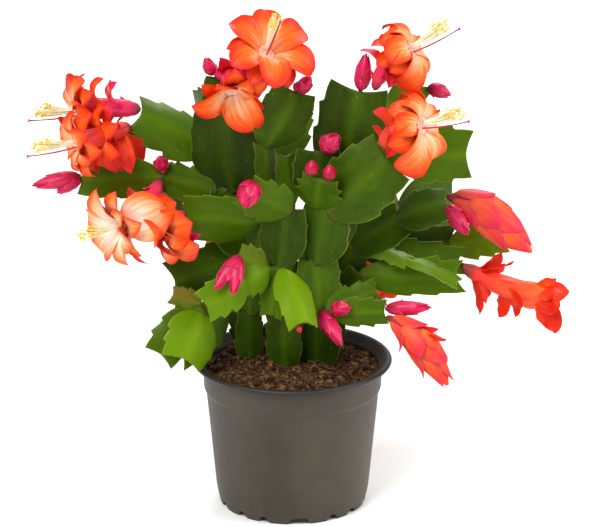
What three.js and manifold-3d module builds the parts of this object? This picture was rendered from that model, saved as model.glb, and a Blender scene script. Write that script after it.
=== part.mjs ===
import * as THREE from 'three';
import { mergeVertices } from 'three/addons/utils/BufferGeometryUtils.js';
import Module from 'manifold-3d';

// A potted Christmas cactus in bloom: a plastic nursery pot, its soil, branching stems of flat toothed
// segments, and orange blooms and magenta buds on the segments' blunt tips.
// Millimetres, +Z up, the front towards -Y, the origin at the middle of the pot's underside.

const wasm = await Module();
wasm.setup();

// Driving dimensions of the pot and the soil
const potHeight = 91;
const rimRadius = 60;
const wallThickness = 1.6;
const footRadius = 44;
const floorHeight = 4;
const soilEdgeHeight = 84;
const soilMiddleHeight = 88;

// Driving dimensions of the plant
const rootHeight = 80;
const sunkTip = 1.8;
const midribHalf = 1.2;
const baseHalf = 0.32;
const tipHalf = 0.75;
const edgeHalf = 0.38;
const petalHalf = 0.38;
const clearance = 0.32;

// Materials

function finish(color, roughness) {
  return new THREE.MeshStandardMaterial({ color, roughness, metalness: 0 });
}

const potPlastic = finish(0x5b554b, 0.55);
const peat = finish(0x4a3323, 0.95);
const leafGreen = finish(0x3f6416, 0.5);
const petalOrange = finish(0xf2582a, 0.5);
const stamenCream = finish(0xf3e6a8, 0.6);
const styleMagenta = finish(0xb01850, 0.45);
const budMagenta = finish(0xe0305f, 0.45);

// Solids

const radians = THREE.MathUtils.degToRad;

function solidOf(geometry) {
  const bare = geometry.clone();
  bare.deleteAttribute('normal');
  bare.deleteAttribute('uv');
  const merged = mergeVertices(bare, 1e-4);
  return new wasm.Manifold(new wasm.Mesh({
    numProp: 3,
    vertProperties: new Float32Array(merged.attributes.position.array),
    triVerts: new Uint32Array(merged.index.array),
  }));
}

function solidOfFaces(points, triangles) {
  return new wasm.Manifold(new wasm.Mesh({
    numProp: 3,
    vertProperties: new Float32Array(points.flatMap((p) => [p.x, p.y, p.z])),
    triVerts: new Uint32Array(triangles.flat()),
  }));
}

function geometryOf(solid) {
  const mesh = solid.getMesh();
  const geometry = new THREE.BufferGeometry();
  geometry.setAttribute('position', new THREE.BufferAttribute(mesh.vertProperties.slice(), 3));
  geometry.setIndex(new THREE.BufferAttribute(mesh.triVerts.slice(), 1));
  geometry.computeVertexNormals();
  return geometry;
}

function joined(solids) {
  return solids.reduce((all, one) => all.add(one));
}

function biggestBody(solid) {
  const bodies = solid.decompose();
  return bodies.reduce((best, body) => (body.volume() > best.volume() ? body : best));
}

// A sheet of rows of points, thick on both sides of its middle surface. sheet(i, j, side) gives the point
// of row i and column j on the front, side 1, or the back, side -1. Both faces split along the same
// diagonals.
function sheetSolid(rowCount, columnCount, sheet) {
  const points = [];
  const triangles = [];
  for (const side of [1, -1]) {
    for (let i = 0; i < rowCount; i += 1) {
      for (let j = 0; j < columnCount; j += 1) {
        points.push(sheet(i, j, side));
      }
    }
  }
  const half = rowCount * columnCount;
  const at = (i, j, side) => (side > 0 ? 0 : half) + i * columnCount + j;
  const middle = (columnCount - 1) / 2;
  for (let i = 0; i < rowCount - 1; i += 1) {
    for (let j = 0; j < columnCount - 1; j += 1) {
      const [a, b, c, d] = [[i, j], [i, j + 1], [i + 1, j + 1], [i + 1, j]];
      const halves = j < middle ? [[a, b, c], [a, c, d]] : [[a, b, d], [b, c, d]];
      for (const [p, q, r] of halves) {
        triangles.push([at(...p, 1), at(...q, 1), at(...r, 1)]);
        triangles.push([at(...p, -1), at(...r, -1), at(...q, -1)]);
      }
    }
  }
  const rim = [];
  for (let j = 0; j < columnCount - 1; j += 1) rim.push([0, j]);
  for (let i = 0; i < rowCount - 1; i += 1) rim.push([i, columnCount - 1]);
  for (let j = columnCount - 1; j > 0; j -= 1) rim.push([rowCount - 1, j]);
  for (let i = rowCount - 1; i > 0; i -= 1) rim.push([i, 0]);
  rim.forEach((place, k) => {
    const next = rim[(k + 1) % rim.length];
    const [a, b, c, d] = [at(...place, 1), at(...place, -1), at(...next, -1), at(...next, 1)];
    triangles.push([a, b, c], [a, c, d]);
  });
  return solidOfFaces(points, triangles);
}

// A closed skin made of rings, bands between them, lids, and blades that grow from an edge of the rings.
class Skin {
  constructor() {
    this.points = [];
    this.triangles = [];
  }

  add(point) {
    return this.points.push(point) - 1;
  }

  quad(a, b, c, d) {
    this.triangles.push([a, b, c], [a, c, d]);
  }

  ring({ centre, across, face, radius }, sides, turn = 0) {
    return Array.from({ length: sides }, (_, k) => {
      const angle = radians(turn + (360 * k) / sides);
      return this.add(centre.clone()
        .addScaledVector(across, radius * Math.cos(angle))
        .addScaledVector(face, radius * Math.sin(angle)));
    });
  }

  band(lower, upper, open = []) {
    for (let k = 0; k < lower.length; k += 1) {
      const next = (k + 1) % lower.length;
      if (!open.includes(k)) {
        this.quad(lower[k], lower[next], upper[next], upper[k]);
      }
    }
  }

  tube(rings) {
    rings.slice(1).forEach((ring, i) => this.band(rings[i], ring));
  }

  startLid(ring) {
    for (let k = 1; k < ring.length - 1; k += 1) {
      this.triangles.push([ring[0], ring[k + 1], ring[k]]);
    }
  }

  endLid(ring) {
    for (let k = 1; k < ring.length - 1; k += 1) {
      this.triangles.push([ring[0], ring[k], ring[k + 1]]);
    }
  }

  // A blade from side k between an outer and an inner ring. Each row has its point, across, normal and half.
  blade(outer, inner, k, rows, thick) {
    const next = (k + 1) % outer.length;
    let [a, b, bIn, aIn] = [outer[k], outer[next], inner[next], inner[k]];
    for (const { point, across: sideways, normal, half } of rows) {
      const corner = (x, side) => this.add(point.clone()
        .addScaledVector(sideways, x * half)
        .addScaledVector(normal, side * thick));
      const [c, d, cIn, dIn] = [corner(1, 1), corner(-1, 1), corner(1, -1), corner(-1, -1)];
      this.quad(a, b, c, d);
      this.quad(aIn, dIn, cIn, bIn);
      this.quad(a, d, dIn, aIn);
      this.quad(c, b, bIn, cIn);
      [a, b, bIn, aIn] = [d, c, cIn, dIn];
    }
    this.quad(a, b, bIn, aIn);
  }

  solid() {
    return solidOfFaces(this.points, this.triangles);
  }
}

// A round body along a line of rings, each with its centre, its across and face directions and its radius.
function ringSolid(rings, sides) {
  const skin = new Skin();
  const loops = rings.map((ring) => skin.ring(ring, sides));
  skin.startLid(loops[0]);
  skin.tube(loops);
  skin.endLid(loops.at(-1));
  return skin.solid();
}

// Directions. lean turns from straight up towards +X, out tips towards the front, roll turns the face.

function heading(lean, out) {
  return new THREE.Vector3(
    Math.sin(radians(lean)) * Math.cos(radians(out)),
    -Math.sin(radians(out)),
    Math.cos(radians(lean)) * Math.cos(radians(out)),
  );
}

function across(direction, hint) {
  const side = hint.clone().addScaledVector(direction, -hint.dot(direction));
  return side.normalize();
}

const forwards = new THREE.Vector3(0, -1, 0);

// Segments

// Half of a segment's outline from its woody base to its blunt tip: half widths, and how far along each
// point lies at the edge and on the midrib. The two steps back are the notches behind the teeth.
const outline = [
  [0.14, 0.00, 0.00],
  [0.74, 0.20, 0.20],
  [1.00, 0.50, 0.50],
  [0.86, 0.57, 0.60],
  [0.97, 0.77, 0.76],
  [0.79, 0.84, 0.86],
  [0.80, 1.07, 0.98],
];

// Each row: name, the segment it grows from, its place across that one's tip, lean, out, length, width,
// roll, bow, fold. A stem's first row has no parent and stands on its root.
const stemRoots = {
  l: [-26, 6], m: [-5, -8], t: [15, -4], r: [20, 18], w: [-24, 22], p: [-4, 30], q: [8, 38],
};
const segmentRows = [
  ['l1', null, 0, 0, 3, 38, 18, 15, 0, 0],
  ['l2', 'l1', 0, 5, -6, 33, 24, 0, 0, 0],
  ['l3', 'l2', -0.6, -10, -6, 46, 33, 15, 0, 0],
  ['l4', 'l3', 0, -5, 8, 53, 45, -15, 3, 0],
  ['l5', 'l4', 0, 0, -14, 24, 28, 12, 0, 0],
  ['l6', 'l3', -0.4, -20, -26, 28, 22, -10, 0, 0],
  ['l7', 'l6', 0, -60, 4, 50, 32, 40, 3, 6],
  ['l8', 'l3', -0.9, -75, -8, 35, 22, 10, 0, 0],
  ['l9', 'l8', 0, -90, 2, 50, 25, 10, 3, 0],
  ['l10', 'l2', 0.7, 0, 12, 32, 29, -25, 0, 0],
  ['l11', 'l10', 0, -80, 12, 49, 30, -5, 3, 0],
  ['l12', 'l3', 0.5, 10, -70, 40, 28, 15, 3, 0],
  ['m1', null, 0, 0, 4, 45, 22, 0, 0, 0],
  ['m2', 'm1', 0, -5, -4, 30, 28, 20, 0, 0],
  ['m3', 'm2', 0, 5, 2, 39, 29, -15, 0, 0],
  ['m4', 'm3', -0.9, -8, -10, 37, 22, 50, 0, 0],
  ['m5', 'm4', 0, 28, -4, 39, 35, 20, 3, 0],
  ['m6', 'm3', 0.4, -57, 24, 33, 28, -5, 2, 0],
  ['m7', 'm3', 0.25, -4, -18, 33, 17, 35, 0, 0],
  ['m8', 'm2', 0.2, 153, 46, 40, 23, -36, 4, 4],
  ['m9', 'm2', -0.1, -170, 16, 28, 16, 0, 0, 0],
  ['m10', 'm2', -0.8, -100, 45, 22, 24, 10, 3, 3],
  ['m11', 'm2', -0.9, -50, 38, 27, 18, 20, 0, 0],
  ['m12', 'm10', 0, -117, 25, 29, 25, 0, 2, 0],
  ['t1', null, 0, 0, 4, 43, 28, -20, 0, 0],
  ['t2', 't1', 0, 0, -3, 33, 29, 15, 0, 0],
  ['t3', 't2', -0.1, 10, 7, 37, 33, -15, 0, 0],
  ['t4', 't3', 0, 45, 10, 52, 43, -20, 3, 0],
  ['t5', 't3', -0.5, 0, -6, 35, 31, 0, 0, 0],
  ['t6', 't3', -0.6, 5, 32, 27, 27, -15, 0, 0],
  ['t7', 't2', 0.6, 10, -14, 49, 30, 20, 0, 0],
  ['t8', 't7', 0, 10, 2, 61, 43, -15, 2, 0],
  ['t9', 't7', 0.8, 45, -12, 30, 26, -25, 0, 0],
  ['t10', 't9', -0.7, 35, -14, 41, 29, 25, 0, 0],
  ['t11', 't9', 0.7, 90, 0, 44, 36, -5, 0, 0],
  ['t12', 't1', 0.8, 85, 12, 34, 18, -10, 0, 0],
  ['t13', 't1', 0.5, 70, -12, 34, 20, -20, 0, 0],
  ['t14', 't2', -0.5, 10, -74, 40, 30, -10, 3, 0],
  ['r1', null, 0, 5, 2, 39, 23, 20, 0, 0],
  ['r2', 'r1', 0, 20, -8, 40, 27, -15, 0, 0],
  ['r3', 'r2', 0, 55, 4, 35, 30, -45, 2, 0],
  ['r4', 'r3', 0, 70, -2, 32, 28, -50, 3, 0],
  ['r5', 'r2', 0.3, 90, -12, 59, 28, -15, 4, 0],
  ['r6', 'r5', 0, 88, -12, 36, 22, -10, 0, 0],
  ['r7', 'r2', 0.8, 95, 4, 58, 20, -25, 4, 0],
  ['r8', 'r2', 1, 90, 42, 32, 14, -70, 2, 0],
  ['r9', 'r8', 0, 110, 12, 34, 15, -75, 2, 0],
  ['r10', 'r1', 0.9, 25, 18, 26, 20, 0, 0, 0],
  ['r11', 'r10', 0, 90, 2, 60, 24, -15, 3, 0],
  ['r12', 'r2', 0, 40, -58, 38, 28, -10, 3, 0],
  ['w1', null, 0, -10, 2, 40, 23, -20, 0, 0],
  ['w2', 'w1', 0, 15, 6, 39, 29, 25, 0, 0],
  ['w3', 'w2', 0, -105, 16, 54, 30, 10, 3, 3],
  ['w4', 'w1', -0.8, -75, 60, 42, 22, -10, 0, 0],
  ['w5', 'w4', 0.2, -160, 36, 32, 34, -20, 4, 4],
  ['w6', 'w1', -0.9, -120, 54, 56, 28, -12, 3, 0],
  ['w7', 'w4', 1, -72, 4, 18, 14, 0, 0, 0],
  ['w8', 'w4', 0.7, -138, 20, 38, 26, 0, -2, 2],
  ['p1', null, 0, -5, -8, 40, 22, 0, 0, 0],
  ['p2', 'p1', 0, -12, -16, 38, 29, 15, 0, 0],
  ['p3', 'p2', 0.2, -6, -20, 44, 35, -15, 3, 0],
  ['p4', 'p2', -0.9, -60, -25, 46, 34, 20, 4, 0],
  ['p5', 'p3', -0.6, -28, -45, 44, 31, 15, 4, 0],
  ['p6', 'p4', 0, -95, -40, 44, 36, 20, 4, 0],
  ['p7', 'p3', 0.6, 16, -32, 40, 36, -20, 4, 0],
  ['p8', 'p5', 0, -110, -55, 42, 31, 15, 4, 0],
  ['p9', 'p2', 0.9, -30, -60, 42, 28, 20, 4, 0],
  ['p10', 'p9', 0, -150, -50, 40, 32, 0, 4, 0],
  ['q1', null, 0, 8, -8, 42, 24, 0, 0, 0],
  ['q2', 'q1', 0, 18, -18, 36, 30, -20, 0, 0],
  ['q3', 'q2', -0.2, 8, -24, 44, 35, 15, 3, 0],
  ['q4', 'q2', 0.9, 70, -28, 42, 32, -20, 4, 0],
  ['q5', 'q3', 0.5, 40, -46, 42, 34, 20, 4, 0],
  ['q6', 'q4', 0, 98, -38, 44, 38, -25, 4, 0],
  ['q7', 'q5', 0, 125, -52, 40, 31, 15, 4, 0],
  ['q8', 'q2', 0, 80, -62, 42, 28, 0, 4, 0],
  ['q9', 'q8', 0, 165, -48, 42, 34, 0, 4, 0],
];

class Segment {
  constructor(base, lean, out, length, width, roll, bow, fold) {
    this.base = base;
    this.length = length;
    this.halfWidth = width / 2;
    this.bow = bow;
    this.fold = fold;
    this.along = heading(lean, out);
    const front = across(this.along, forwards);
    const side = this.along.clone().cross(front);
    this.face = front.clone().multiplyScalar(Math.cos(radians(roll)))
      .addScaledVector(side, Math.sin(radians(roll)));
    this.side = this.along.clone().cross(this.face);
  }

  // A point x half widths across, q of the length along and lift above the middle surface.
  point(x, q, lift = 0) {
    const arch = this.bow * 4 * q * (1 - q);
    return this.base.clone()
      .addScaledVector(this.along, this.length * q)
      .addScaledVector(this.side, this.halfWidth * x)
      .addScaledVector(this.face, arch + lift - this.fold * x * x);
  }

  // The seat for what grows from the tip, place -1 to 1 across it.
  seat(place, depth) {
    const [width, horn, middle] = outline.at(-1);
    const x = place * 0.8 * width;
    return this.point(x, middle + (horn - middle) * Math.abs(place) * 0.8 - depth / this.length);
  }

  solid(grow = 0) {
    const rows = outline.length;
    return sheetSolid(rows, 3, (i, j, side) => {
      const [width, edge, mid] = outline[i];
      const x = (j - 1) * (width + grow / this.halfWidth);
      let q = j === 1 ? mid : edge;
      if (i === 0) q -= grow / this.length;
      if (i === rows - 1) q += grow / this.length;
      const rib = [baseHalf, ...Array(rows - 2).fill(midribHalf), tipHalf][i];
      const half = j === 1 ? rib : Math.min(rib, edgeHalf);
      return this.point(x, q, side * (half + grow));
    });
  }
}

const segments = new Map();
for (const [name, parent, place, ...form] of segmentRows) {
  const [x, y] = stemRoots[name[0]];
  const base = parent ? segments.get(parent).seat(place, sunkTip) : new THREE.Vector3(x, y, rootHeight);
  segments.set(name, new Segment(base, ...form));
}

// Pot

// The wall as radius and height: the inside from the floor to the lip, and the outside from the recess
// under the floor round the foot, the taper, the shoulder and the rolled lip.
const innerWall = [[44, floorHeight + wallThickness], [50.4, 71], [52, 86], [56.5, potHeight]];

const outerWall = [
  [22, floorHeight], [42, floorHeight], [42, 0], [footRadius, 0], [46, 9], [52, 71], [53.3, 73], [54, 87],
  [59.4, 88], [rimRadius, 89.5], [59.4, potHeight],
];

const potSides = 30;
const notchHeight = 3.7;
const notchWidths = { wide: 12, narrow: 6 };
// Around each third of the foot, in degrees from the middle of its wide notch.
const notchSteps = [0, 28, 48, 72, 92];
const wideNotchTurn = -85;
const drainHoles = { count: 6, radius: 3.5, ring: 32 };

function notchCutter(width, turn) {
  const half = width / 2;
  const arch = new THREE.Shape();
  arch.moveTo(-half, -1);
  arch.lineTo(half, -1);
  arch.lineTo(half, notchHeight - 1.5);
  arch.lineTo(half - 1.5, notchHeight);
  arch.lineTo(1.5 - half, notchHeight);
  arch.lineTo(-half, notchHeight - 1.5);
  arch.closePath();
  const bar = new THREE.ExtrudeGeometry(arch, { depth: 10, bevelEnabled: false });
  const [cos, sin] = [Math.cos(radians(turn)), Math.sin(radians(turn))];
  const radial = new THREE.Vector3(cos, sin, 0);
  const place = new THREE.Matrix4()
    .makeBasis(new THREE.Vector3(-sin, cos, 0), new THREE.Vector3(0, 0, 1), radial)
    .setPosition(radial.clone().multiplyScalar(footRadius - 5));
  return solidOf(bar.applyMatrix4(place));
}

function makePot() {
  const inside = [...innerWall].reverse();
  const profile = [[0, 0], [20, 0], ...outerWall, ...inside, [0, floorHeight + wallThickness]];
  const turned = new THREE.LatheGeometry(profile.map(([r, z]) => new THREE.Vector2(r, z)), potSides);
  const cutters = [];
  for (const third of [0, 120, 240]) {
    notchSteps.forEach((step, k) => {
      const width = k === 0 ? notchWidths.wide : notchWidths.narrow;
      cutters.push(notchCutter(width, wideNotchTurn + third + step));
    });
  }
  for (let k = 0; k < drainHoles.count; k += 1) {
    const turn = (2 * Math.PI * k) / drainHoles.count;
    const hole = new THREE.CylinderGeometry(drainHoles.radius, drainHoles.radius, 4, 6);
    hole.rotateX(Math.PI / 2);
    hole.translate(drainHoles.ring * Math.cos(turn), drainHoles.ring * Math.sin(turn), floorHeight + 0.8);
    cutters.push(solidOf(hole));
  }
  return solidOf(turned.rotateX(Math.PI / 2)).subtract(joined(cutters));
}

// Soil

const soilSides = 20;

function soilRadius(z) {
  const above = innerWall.findIndex(([, height]) => height >= z);
  const [[r0, z0], [r1, z1]] = [innerWall[Math.max(above, 1) - 1], innerWall[Math.max(above, 1)]];
  const wall = r0 + ((r1 - r0) * (z - z0)) / (z1 - z0);
  return wall * Math.cos(Math.PI / potSides) - clearance;
}

function soilTop(r, turn) {
  const share = r / soilRadius(soilEdgeHeight);
  const lumps = 1.1 * Math.sin(3 * turn + r / 6) + 0.9 * Math.sin(5 * turn - r / 4) + 0.7 * Math.cos(r / 3);
  const mound = soilEdgeHeight + (soilMiddleHeight - soilEdgeHeight) * (1 - share * share);
  return mound + lumps * Math.sqrt(1 - share * share);
}

function makeSoil() {
  const bottom = floorHeight + wallThickness + clearance;
  const walls = [bottom, 71, soilEdgeHeight].map((z) => ({ r: soilRadius(z), height: () => z }));
  const tops = [42, 28, 13].map((r) => ({ r, height: (turn) => soilTop(r, turn) }));
  const points = [];
  const triangles = [];
  for (const { r, height } of [...walls, ...tops]) {
    for (let k = 0; k < soilSides; k += 1) {
      const turn = (2 * Math.PI * k) / soilSides;
      points.push(new THREE.Vector3(r * Math.cos(turn), r * Math.sin(turn), height(turn)));
    }
  }
  const rings = walls.length + tops.length;
  for (let i = 0; i < rings - 1; i += 1) {
    for (let k = 0; k < soilSides; k += 1) {
      const next = (k + 1) % soilSides;
      const [a, b] = [i * soilSides + k, i * soilSides + next];
      triangles.push([a, b, b + soilSides], [a, b + soilSides, a + soilSides]);
    }
  }
  points.push(new THREE.Vector3(0, 0, bottom), new THREE.Vector3(0, 0, soilTop(0, 0)));
  const [low, high] = [points.length - 2, points.length - 1];
  const last = (rings - 1) * soilSides;
  for (let k = 0; k < soilSides; k += 1) {
    const next = (k + 1) % soilSides;
    triangles.push([low, next, k], [high, last + k, last + next]);
  }
  const roots = Object.keys(stemRoots).map((letter) => segments.get(`${letter}1`).solid(clearance));
  return solidOfFaces(points, triangles).subtract(joined(roots));
}

// Blooms

const upwards = new THREE.Vector3(0.1, 0.25, 1);

// A bloom's tube, as how far along it lies and its radius there. The outer petals grow between the first
// part and the second. A closed bloom is thicker, and goes on beyond its mouth to a point.
const openTube = { lower: [[0, 0.9], [0.13, 3.4], [0.4, 3.9]], upper: [[0.43, 4], [0.7, 4.7], [1, 5.4]] };
const closedTube = { lower: [[0, 0.9], [0.15, 3.6], [0.4, 7.4]], upper: [[0.43, 7.8], [0.7, 10], [1, 10.6]] };
const closedTip = [[8, 9.6], [17, 6.8], [28, 0.7]];
const tubeSides = 6;
const mouthWall = 1;

// Petals: their size, and how far they open from the tube's direction at the root and at the tip. outline
// gives half widths along them.
const outerPetals = {
  sides: [0, 2, 3, 5],
  length: 18,
  width: 10,
  root: 32,
  tip: 95,
  outline: [[0.5, 1], [1, 0.16]],
};
const innerPetals = {
  sides: [0, 1, 2, 3, 4, 5],
  length: 26,
  width: 14,
  root: 30,
  tip: 125,
  outline: [[0.4, 0.9], [0.76, 0.95], [1, 0.16]],
};

const stamenCount = 5;
const stamenLength = 24;
const filament = [[0.86, 0.45], [1, 0.85]];
const styleLength = 33;
const styleProfile = [[0, 0.6], [0.5, 0.48], [0.94, 0.45], [1, 1.2]];

// Each row: name, the segment that carries it, its place across that one's tip, lean and out at the root,
// lean and out at the mouth, length of the tube, size of the petals, how far they open (1 is full), the
// turn of the petals round the tube, and how much further the upper ones bend back.
const bloomRows = [
  ['bloom_1', 'l5', 0.6, 67, 52, 22, 32, 43.8, 1, 1, 30, -20],
  ['bloom_2', 'l5', -0.6, 50, 40, 175, 50, 32, 0.86, 0.8, 12, 20],
  ['bloom_3', 'l7', 0.3, -80, 5, -98, 15, 37, 0.9, 1.25, 0, 5],
  ['bloom_4', 'l7', -0.9, -79, 63, -100, 25, 44, 0.85, 1.2, 20, 10],
  ['bloom_5', 'l8', -0.3, -163, 56, -108, 35, 48, 0.92, 0.95, -18, 10],
  ['bloom_6', 'l11', 0.2, -150, 55, -110, 0, 20, 0.58, 1.3, 0, 0],
  ['bloom_7', 't8', 0.7, 13, 8, 64, 15, 39, 0.92, 1.5, 0, 0],
  ['bloom_8', 't4', -0.6, 16, 36, 78, 30, 42.5, 0.95, 1.5, 0, 20],
  ['bloom_9', 'r4', -0.6, 100, 5, 130, 10, 34, 1.05, 0.3, 0, 25],
  ['bloom_10', 'r7', 0.3, 125, 5, 95, 8, 56, 0.8, 1, 0, 20],
  ['bloom_11', 't12', 0.5, 110, 25, 145, 20, 36, 0.75, 0.25, 0, 25],
  ['bloom_12', 'p10', 0, 180, -60, 180, -20, 40, 0.95, 1.1, 0, 10],
  ['bloom_13', 'q9', 0, 170, -60, 170, -20, 40, 0.95, 1.1, 0, 10],
];

class Bloom {
  constructor(carrier, place, lean0, out0, lean1, out1, length, size, spread, turn, curl) {
    const [start, end] = [heading(lean0, out0), heading(lean1, out1)];
    const base = segments.get(carrier).seat(place, -clearance);
    const bend = base.clone().addScaledVector(start, length / 2);
    this.line = new THREE.QuadraticBezierCurve3(base, bend, bend.clone().addScaledVector(end, length / 2));
    this.size = size;
    this.spread = spread;
    this.turn = turn;
    this.curl = curl;
    this.length = length;
  }

  frame(u) {
    const along = this.line.getTangent(u);
    const up = across(along, upwards);
    return { centre: this.line.getPoint(u), along, up, side: along.clone().cross(up) };
  }

  // Something of this radius round the tube at u, or ahead of it.
  round(u, radius, ahead = 0) {
    const { centre, along, up, side } = this.frame(u);
    return { centre: centre.addScaledVector(along, ahead), across: up, face: side, radius };
  }

  outward(up, side, angle) {
    return up.clone().multiplyScalar(Math.cos(radians(angle)))
      .addScaledVector(side, Math.sin(radians(angle)));
  }

  // Rows along the middle of the petal on side k at u, with its point, the direction across and the normal.
  petalRows(petals, u, radius, k) {
    const { centre, along, up, side } = this.frame(u);
    const angle = this.turn + (k + 0.5) * (360 / tubeSides);
    const outward = this.outward(up, side, angle);
    const root = centre.clone().addScaledVector(outward, radius * Math.cos(Math.PI / tubeSides));
    const curl = this.curl * Math.cos(radians(angle)) + 8 * (k % 2);
    const [from, to] = [petals.root * this.spread, (petals.tip + curl) * this.spread].map(radians);
    const rate = (to - from) / (petals.length * this.size);
    return petals.outline.map(([share, width]) => {
      const now = from + (to - from) * share;
      const direction = along.clone().multiplyScalar(Math.cos(now)).addScaledVector(outward, Math.sin(now));
      const normal = outward.clone().multiplyScalar(Math.cos(now)).addScaledVector(along, -Math.sin(now));
      return {
        point: root.clone()
          .addScaledVector(along, (Math.sin(now) - Math.sin(from)) / rate)
          .addScaledVector(outward, (Math.cos(from) - Math.cos(now)) / rate),
        across: direction.cross(normal),
        normal,
        half: (petals.width * this.size * width) / 2,
      };
    });
  }

  // The tube with its petals going on from the sides, as one closed skin.
  solid() {
    const skin = new Skin();
    const slim = 0.4 + 0.6 * this.size;
    const tube = this.spread < 0.5 ? closedTube : openTube;
    const loop = ([u, radius]) => skin.ring(this.round(u, radius * slim), tubeSides, this.turn);
    const [lower, upper] = [tube.lower.map(loop), tube.upper.map(loop)];
    const [waist, above, mouth] = [lower.at(-1), upper[0], upper.at(-1)];
    skin.startLid(lower[0]);
    skin.tube(lower);
    skin.band(waist, above, outerPetals.sides);
    skin.tube(upper);
    const [waistAt, waistRadius] = tube.upper[0];
    for (const k of outerPetals.sides) {
      skin.blade(waist, above, k, this.petalRows(outerPetals, waistAt, waistRadius * slim, k), petalHalf);
    }
    if (this.spread < 0.5) {
      const tip = closedTip.map(([ahead, radius]) => (
        skin.ring(this.round(1, radius * this.size, ahead * this.size), tubeSides, this.turn)));
      skin.tube([mouth, ...tip]);
      skin.endLid(tip.at(-1));
      return skin.solid();
    }
    const mouthRadius = tube.upper.at(-1)[1] * slim;
    const inner = skin.ring(this.round(1, mouthRadius - mouthWall), tubeSides, this.turn);
    for (const k of innerPetals.sides) {
      skin.blade(mouth, inner, k, this.petalRows(innerPetals, 1, mouthRadius, k), petalHalf);
    }
    skin.endLid(inner);
    return skin.solid();
  }

  // A short root above the middle of the mouth that parts into filaments with blunt anthers.
  stamens() {
    const skin = new Skin();
    const { centre, along, up, side } = this.frame(1);
    const foot = centre.clone().addScaledVector(along, clearance).addScaledVector(up, 1.4);
    const fork = foot.clone().addScaledVector(along, 2);
    const turn = -180 / stamenCount;
    const low = skin.ring({ centre: foot, across: up, face: side, radius: 1.2 }, stamenCount, turn);
    const high = skin.ring({ centre: fork, across: up, face: side, radius: 1.2 }, stamenCount, turn);
    const crown = skin.add(fork);
    skin.startLid(low);
    skin.band(low, high);
    for (let k = 0; k < stamenCount; k += 1) {
      const aside = this.outward(up, side, (k * 360) / stamenCount);
      const length = stamenLength - 2 * (k % 3);
      const loops = filament.map(([share, radius]) => skin.ring({
        centre: fork.clone()
          .addScaledVector(along, length * share)
          .addScaledVector(aside, 1 + 5 * share * share)
          .addScaledVector(up, 5 * share * share),
        across: aside,
        face: along.clone().cross(aside),
        radius,
      }, 3, -60));
      skin.tube([[high[k], high[(k + 1) % stamenCount], crown], ...loops]);
      skin.endLid(loops.at(-1));
    }
    return skin.solid();
  }

  style() {
    const { centre, along, up, side } = this.frame(1);
    const root = centre.clone().addScaledVector(along, clearance).addScaledVector(up, -2);
    return ringSolid(styleProfile.map(([share, radius]) => ({
      centre: root.clone().addScaledVector(along, styleLength * share).addScaledVector(up, 3 * share * share),
      across: up,
      face: side,
      radius,
    })), 4);
  }
}

const withStamens = [1, 3, 4, 5, 7, 8, 12, 13];
const withStyle = [1, 3, 4, 7, 8, 12, 13];

// Buds

const budProfile = [[0, 0.18], [0.4, 1], [0.75, 0.72], [1, 0.12]];

// Each row: name, the segment that carries it, its place across that one's tip, lean, out, length, width.
// Buds that share a name are joined at their roots.
const budRows = [
  ['bud_1', 'l5', -0.8, -20, 5, 12, 7],
  ['bud_2', 'm5', 0.3, 30, 20, 13, 8],
  ['bud_2', 'm5', 0.25, -25, 15, 7, 5],
  ['bud_3', 'l9', 0.1, -100, 5, 30, 9],
  ['bud_4', 'l8', 0.7, 10, 50, 11, 8],
  ['bud_5', 'm6', 0.8, -160, 40, 18, 13],
  ['bud_6', 't6', -0.6, 0, 10, 10, 9],
  ['bud_7', 't6', 0.6, 5, 10, 10, 9],
  ['bud_8', 't5', 0.2, 45, 10, 15, 11],
  ['bud_9', 't8', 0.1, 8, 5, 24, 9],
  ['bud_10', 't10', 0.8, 110, 5, 15, 8],
  ['bud_11', 'r4', 0.1, 140, 30, 23, 10],
  ['bud_12', 'm11', 0, -140, 32, 26, 8],
  ['bud_12', 'm11', 0, -170, 38, 25, 8],
  ['bud_13', 't1', 0.2, 140, 45, 28, 9],
  ['bud_14', 't1', 1, 76, 35, 14, 8],
  ['bud_15', 't12', -0.3, 85, 8, 28, 8],
  ['bud_16', 'm10', -1, -160, 60, 4, 4],
  ['bud_17', 'm8', 0.5, 160, 60, 5, 4],
  ['bud_18', 'p5', 0, -40, -50, 22, 9],
  ['bud_19', 'q7', 0, 130, -50, 24, 9],
];

function budSolid(carrier, place, lean, out, length, width) {
  const base = segments.get(carrier).seat(place, -clearance);
  const along = heading(lean, out);
  const up = across(along, upwards);
  const side = along.clone().cross(up);
  return ringSolid(budProfile.map(([share, radius]) => ({
    centre: base.clone().addScaledVector(along, length * share),
    across: up,
    face: side,
    radius: (radius * width) / 2,
  })), 6);
}

// The plant and its pot

const group = new THREE.Group();

function place(name, solid, material) {
  const mesh = new THREE.Mesh(geometryOf(solid), material);
  mesh.name = name;
  group.add(mesh);
}

const tipCopies = new Map([...segments].map(([name, segment]) => [name, segment.solid(clearance)]));

// What grows from a tip, cut clear of the segments that it meets.
function clearOfSegments(solid) {
  let cut = solid;
  const box = solid.boundingBox();
  for (const copy of tipCopies.values()) {
    const other = copy.boundingBox();
    const apart = [0, 1, 2].some((k) => box.max[k] < other.min[k] || other.max[k] < box.min[k]);
    if (!apart && cut.intersect(copy).volume() > 0) {
      cut = cut.subtract(copy);
    }
  }
  return biggestBody(cut);
}

place('pot', makePot(), potPlastic);
place('soil', makeSoil(), peat);

for (const letter of Object.keys(stemRoots)) {
  const own = [...segments.entries()].filter(([name]) => name[0] === letter);
  place(`stem_${letter}`, joined(own.map(([, segment]) => segment.solid())), leafGreen);
}

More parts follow.
